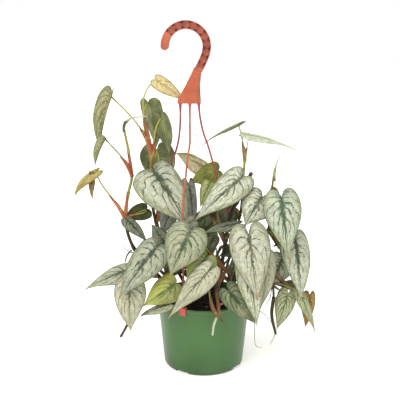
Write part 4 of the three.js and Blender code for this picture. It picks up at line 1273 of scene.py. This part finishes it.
@dataclass(frozen=True)
class Hanger:
    """The moulded hanger: a round hook with a lattice face, a flat plate and three clipped strands."""

    PLAIN, PIT, PLATE, STRIP, LATTICE = range(5)
    CLIP = 1
    PLATE_LEFT = Spline.through(
        (-41.5, 0), (-41.6, 3), (-40.9, 7), (-36.6, 15), (-28, 30), (-21, 43), (-15, 56))
    PLATE_RIGHT = Spline.through((-4.5, 0), (-4.6, 6), (-5.2, 18), (-5.6, 30), (-4.6, 42), (-2.6, 56))
    CLIP_SECTION = (
        (77.9, 105.0), (77.9, 115.4), (74.3, 115.4), (74.3, 107.0), (72.3, 107.0), (72.3, 116.6),
        (73.0, 117.3), (79.0, 117.3), (79.8, 116.5), (79.8, 105.6), (79.2, 105.0))

    middle: Pair = (-28.0, 518.0)
    radius: float = 32.5
    width: float = 13.0
    tip_angle: float = 190.0
    plain_angle: float = 142.0
    open_angle: float = -6.0
    angle_step: float = 7.0
    neck: tuple[Pair, ...] = ((2.6, 506.0), (-2.4, 494.0), (-8.5, 482.0))
    cell: float = 11.5
    rail_half: float = 4.0
    rib_half: float = 3.4
    web_half: float = 2.0
    pit_half: float = 0.9
    pit_start: float = 0.44
    pit_margin: float = 0.12
    pit_end: float = 0.8
    swing_reach: float = 0.74
    swing_power: float = 0.7
    plain_half: float = 3.25
    plain_neck: float = 4.0
    nose: float = 6.2
    nose_depth: float = 0.35
    lattice_fade: Triple = (3.0, 2.0, 6.0)
    rib_soft: Pair = (0.1, 0.2)
    rail_soft: Pair = (0.76, 0.84)
    hook_edge: int = 14
    hook_steps: int = 330
    hook_sides: int = 96
    plate_foot: float = 430.0
    plate_half: float = 2.2
    strip_start: float = 0.62
    strip_foot: float = 0.06
    strip_soft: float = 0.03
    lip_share: Pair = (0.05, 0.075)
    frame_share: Pair = (0.93, 0.96)
    foot_share: float = 0.02
    plate_edge: int = 20
    plate_ridge: float = 0.5
    plate_frame: float = 0.35
    plate_sides: int = 64
    plate_rows: int = 84
    strand_radius: float = 1.6
    strand_top: float = 2.8
    strand_flare: float = 16.0
    strand_flat: float = 0.72
    strand_steps: int = 90
    strand_sides: int = 12
    clip_width: float = 11.0
    clip_round: float = 0.45
    clip_height: float = 116.3
    rim_reach: float = 73.3

    def plastic(self, name: str, light: str, dark: str, rough: float = 0.42) -> bpy.types.Material:
        """Make terracotta coloured plastic, clouded darker at random; its darker copies on the hook's pits,
        lattice and plate rib and on the right and back-left strands are painted shade.
        """
        paint = Paint(name, rough, 0.45)
        drift = paint.noise(12, detail=3)
        fine = paint.noise(1.4, detail=3)
        colour = paint.mix((drift + fine * 0.2).rise(-0.2, 0.22), dark, light)
        return paint.done(colour, fine + 0.5, 0.08)

    def hook_line(self) -> Spline:
        """Give the line of the hook from its tip to its neck."""
        steps = math.ceil((self.tip_angle - self.open_angle) / self.angle_step)
        turns = [*(self.tip_angle - self.angle_step * step for step in range(steps)), self.open_angle]
        round_part = [(self.middle[0] + self.radius * math.cos(math.radians(turn)), 0.0,
                       self.middle[1] + self.radius * math.sin(math.radians(turn))) for turn in turns]
        return Spline.through(*round_part, *((x, 0.0, z) for x, z in self.neck))

    def swing(self, phase: float) -> float:
        """Find how far out the rib round a cell of the lattice stands, at a number of cells along."""
        return abs(math.sin(math.pi * phase)) ** self.swing_power * self.swing_reach

    def hook_half(self, side: float, run: float, plain: float, total: float) -> float:
        """Find half the hook's depth at a place on its face.

        Args:
            side: -1 on one edge, 1 on the other.
            run: millimetres from the tip along the middle line.
            plain: how much of the run is plain.
            total: the whole run.
        Returns:
            The half depth in millimetres.
        """
        before, after, end = self.lattice_fade
        lattice = smooth(run, plain - before, plain + after) * (1 - smooth(run, total - end, total))
        swing = self.swing((run - plain) / self.cell)
        off = abs(abs(side) - swing)
        inside = abs(side) < max(swing, self.pit_start)
        depth = self.web_half if inside else self.pit_half
        depth += (self.rib_half - depth) * (1 - smooth(off, *self.rib_soft))
        depth += (self.rail_half - depth) * smooth(abs(side), *self.rail_soft)
        return self.plain_half + (depth - self.plain_half) * lattice

    def build_hook(self) -> None:
        """Make the hook, its lattice and the plate."""
        line = self.hook_line()
        steps = self.hook_steps
        samples = [line.at(step / steps) for step in range(steps + 1)]
        runs = [0.0]
        for start, end in zip(samples, samples[1:]):
            runs.append(runs[-1] + (end - start).length)
        total = runs[-1]
        plain = math.radians(self.tip_angle - self.plain_angle) * self.radius
        cells = round((total - plain) / self.cell)
        rings = sections(line.at, steps, Vector((0, -1, 0)))
        shape = Shape()
        stretch = (total - plain) / cells / self.cell

        def place(around: float, along: float) -> Vector:
            """Place a point of the hook's band, which is rounded off at its tip."""
            side, front = rounded_side(around)
            middle, out, across = rings[round(along * steps)]
            run = runs[round(along * steps)]
            nose = nosed(run / self.nose)
            scaled = plain + (run - plain) / stretch if run > plain else run
            half = self.hook_half(side, scaled, plain, plain + cells * self.cell)
            depth = half * full(side, self.hook_edge) * (self.nose_depth + (1 - self.nose_depth) * nose)
            return middle + across * (side * self.width / 2 * nose) + out * (depth if front else -depth)

        def slot(around: float, along: float) -> int:
            """Tell the plain ends, the lattice and its pits apart; the lattice and the pits take painted
            shade.
            """
            run = runs[round(along * steps)]
            if not plain < run <= total - self.plain_neck:
                return self.PLAIN
            side, _ = rounded_side(around)
            swing = self.swing((run - plain) / stretch / self.cell)
            shaded_pit = max(swing + self.pit_margin, self.pit_start) < abs(side) < self.pit_end
            return self.PIT if shaded_pit else self.LATTICE

        shape.closed(self.hook_sides, steps, place, slot)
        self.add_plate(shape)
        face = self.plastic("hanger_terracotta", "ab583b", "96452c")
        # The pits and the lattice get darker copies of the terracotta plastic: painted shade in the recesses
        # and relief.
        shaded_pit = self.plastic("hanger_pits", "873826", "642317", 0.6)
        edge = self.plastic("hanger_plate_face", "ab5431", "9e492a")
        # The rib strip's darker plastic is painted shade on the rib's side face.
        shaded_strip = self.plastic("hanger_plate_rib", "96503a", "88442f")
        lattice = self.plastic("hanger_lattice", "9c4d36", "803824")
        shape.finish("hanger_hook_plate", [face, shaded_pit, edge, shaded_strip, lattice], "hanger_hook")

    def add_plate(self, shape: Shape) -> None:
        """Add the flat plate, with a lip along its foot and a rib down its right edge."""

        def place(around: float, along: float) -> Vector:
            """Place a point between the plate's two edges."""
            side, front = rounded_side(around)
            low, high = self.PLATE_LEFT.at(along), self.PLATE_RIGHT.at(along)
            spot = low + (high - low) * ((side + 1) / 2)
            start, soft = self.strip_start, self.strip_soft
            rib = smooth(side, start - soft, start + soft) * self.plate_ridge
            lip = (1 - smooth(along, *self.lip_share)) * self.plate_ridge
            edge = smooth(abs(side), *self.frame_share) * self.plate_frame
            half = (self.plate_half + max(rib, lip, edge)) * full(side, self.plate_edge)
            half *= nosed(along / self.foot_share)
            return Vector((spot.x, -half if front else half, self.plate_foot + spot.y))

        def slot(around: float, along: float) -> int:
            """Give the rib down the right edge its own finish: a darker copy of the plate's plastic, painted
            shade on the rib's side.
            """
            shaded_strip = rounded_side(around)[0] > self.strip_start and along > self.strip_foot
            return self.STRIP if shaded_strip else self.PLATE

        shape.closed(self.plate_sides, self.plate_rows, place, slot)

    def build_strand(self, name: str, turn: float, path: tuple[Triple, ...], light: str, dark: str) -> None:
        """Make one strand from the plate to its clip on the rim.

        Args:
            name: the CAD node.
            turn: where it meets the rim, in degrees from +X.
            path: the points between the plate and the rim.
            light: the strand's colour.
            dark: the colour of its clouds.
        """
        way = math.radians(turn)
        foot = (self.rim_reach * math.cos(way), self.rim_reach * math.sin(way), self.clip_height)
        first = Vector(path[0])
        line = Spline.through(*path, foot)
        shape = Shape()

        def radius(share: float) -> float:
            """Taper the strand below the plate."""
            down = min((line.at(share) - first).length / self.strand_flare, 1.0)
            return self.strand_top + (self.strand_radius - self.strand_top) * down * (2 - down)

        shape.tube(line.at, radius, self.strand_steps, self.strand_sides, flat=self.strand_flat,
                   hint=Vector((1, 0, 0)))
        self.add_clip(shape, way)
        strand = self.plastic(f"{name}_plastic", light, dark, 0.45)
        clip = self.plastic(f"{name}_clip", "c04f45", "a63d34", 0.4)
        shape.finish(name + "_moulding", [strand, clip], name)

    def add_clip(self, shape: Shape, way: float) -> None:
        """Add the tab that is bent over the rim at the foot of a strand, at an angle in radians."""
        half = self.clip_width / 2
        points = [shape.mesh.verts.new((radius, -half, height)) for radius, height in self.CLIP_SECTION]
        face = shape.mesh.faces.new(points)
        made = bmesh.ops.extrude_face_region(shape.mesh, geom=[face])["geom"]
        moved = [item for item in made if isinstance(item, bmesh.types.BMVert)]
        bmesh.ops.translate(shape.mesh, vec=(0, self.clip_width, 0), verts=moved)
        corners = [*points, *moved]
        sides = list(dict.fromkeys(edge for point in corners for edge in point.link_edges))
        ends = [edge for edge in sides if abs(edge.verts[0].co.y - edge.verts[1].co.y) < 1e-6]
        bevelled = bmesh.ops.bevel(shape.mesh, geom=ends, offset=self.clip_round, offset_type="OFFSET",
                                   affect="EDGES", segments=2, profile=0.5, material=-1)
        clip = dict.fromkeys([*bevelled["verts"], *(point for point in corners if point.is_valid)])
        for side in dict.fromkeys(face for point in clip for face in point.link_faces):
            side.material_index = self.CLIP
        bmesh.ops.rotate(shape.mesh, cent=(0, 0, 0), matrix=Matrix.Rotation(way, 3, "Z"), verts=list(clip))

    def build(self) -> None:
        """Make the hook with its plate, then the three strands."""
        self.build_hook()
        # The strands share one plastic; the right and back-left ones get darker copies of it, painted shade
        # that is deepest on the back-left strand.
        self.build_strand("hanger_strand_front", -115, (
            (-22, 0, 431), (-22, -3, 399), (-22, -10, 370), (-25, -18, 349), (-28, -30, 321),
            (-33, -50, 254)), "a5593e", "8a4630")
        self.build_strand("hanger_strand_right", 5, (
            (-8, 0, 431), (-6, 0, 410), (-1, 1, 386), (8, 3, 360), (15, 4, 335), (21, 5, 313),
            (42, 6, 245)), "984838", "7c3628")
        self.build_strand("hanger_strand_back_left", 135, (
            (-37, 0, 431), (-37, 1, 410), (-38, 4, 391), (-41, 8, 369), (-47, 12, 348), (-52, 16, 334),
            (-55, 34, 240)), "8c473a", "6b2c22")


@dataclass(frozen=True)
class Studio:
    """The pale floor, the soft lights and the camera of the photo's view."""

    camera_place: Triple = (-0.006, -1.0, 0.470)
    camera_pitch: float = 79.0
    lens: float = 56.52
    sensor: float = 36.0
    floor_size: float = 60.0
    world_light: float = 0.72
    key_light: float = 2.3
    key_spread: float = 50.0
    key_way: Triple = (-1.2, -1.7, 2.4)
    floor_glow: float = 0.4
    floor_drop: float = 0.0003
    front_place: Triple = (0.9, -2.6, 1.2)
    front_size: float = 1.8
    front_power: float = 14.0
    aim: Triple = (0.0, 0.0, 0.22)

    def build_floor(self) -> None:
        """Lay the floor just under the pot's foot."""
        mesh = bmesh.new()
        bmesh.ops.create_grid(mesh, x_segments=1, y_segments=1, size=self.floor_size)
        bmesh.ops.translate(mesh, vec=(0, 0, -self.floor_drop), verts=mesh.verts[:])
        floor = put_mesh("floor", mesh)
        paint = Paint("floor_paper", 0.9, 0.1)
        soft = paint.noise(400, detail=1)
        paint.shader.inputs["Emission Color"].default_value = srgb("fffdf8")
        paint.shader.inputs["Emission Strength"].default_value = self.floor_glow
        floor.data.materials.append(paint.done(paint.mix(soft.rise(-0.3, 0.3), "f6f5f1", "fbfaf7")))

    def build_world(self) -> None:
        """Surround the scene with even white light; the view itself sees plain white."""
        world = bpy.data.worlds.new("white_room")
        bpy.context.scene.world = world
        world.use_nodes = True
        tree = world.node_tree
        background = tree.nodes["Background"]
        background.inputs["Color"].default_value = (1, 1, 1, 1)
        path = tree.nodes.new("ShaderNodeLightPath")
        strength = tree.nodes.new("ShaderNodeMapRange")
        strength.inputs["To Min"].default_value = self.world_light
        strength.inputs["To Max"].default_value = 1.0
        tree.links.new(path.outputs["Is Camera Ray"], strength.inputs["Value"])
        tree.links.new(strength.outputs[0], background.inputs["Strength"])

    def add_lamp(self, name: str, kind: str, power: float, way: Vector) -> bpy.types.Object:
        """Add a lamp that shines one way."""
        light = bpy.data.lights.new(name, kind)
        light.energy = power
        lamp = put(name, light)
        lamp.rotation_euler = way.to_track_quat("-Z", "Y").to_euler()
        return lamp

    def build_lights(self) -> None:
        """Shine wide soft light from the upper left of the front, and hang a square one before the plant."""
        key = self.add_lamp("key", "SUN", self.key_light, -Vector(self.key_way))
        key.data.angle = math.radians(self.key_spread)
        way = Vector(self.aim) - Vector(self.front_place)
        front = self.add_lamp("front", "AREA", self.front_power, way)
        front.data.size = self.front_size
        front.location = self.front_place

    def build_camera(self) -> None:
        """Place the camera where the photo's view stood."""
        data = bpy.data.cameras.new("camera")
        data.lens = self.lens
        data.sensor_width = self.sensor
        camera = put("camera", data)
        camera.location = self.camera_place
        camera.rotation_euler = (math.radians(self.camera_pitch), 0, 0)
        bpy.context.scene.camera = camera

    def build(self) -> None:
        """Set the whole studio."""
        self.build_floor()
        self.build_world()
        self.build_lights()
        self.build_camera()
        bpy.context.scene.view_settings.view_transform = "Standard"


def main() -> None:
    """Build the studio and every piece; each piece notes its number of faces."""
    logging.basicConfig(level=logging.INFO, format="%(message)s")
    Studio().build()
    NurseryPot().build()
    PottingMix().build()
    Hanger().build()
    for vine in VINES:
        vine.build()


if __name__ == "__main__":
    main()
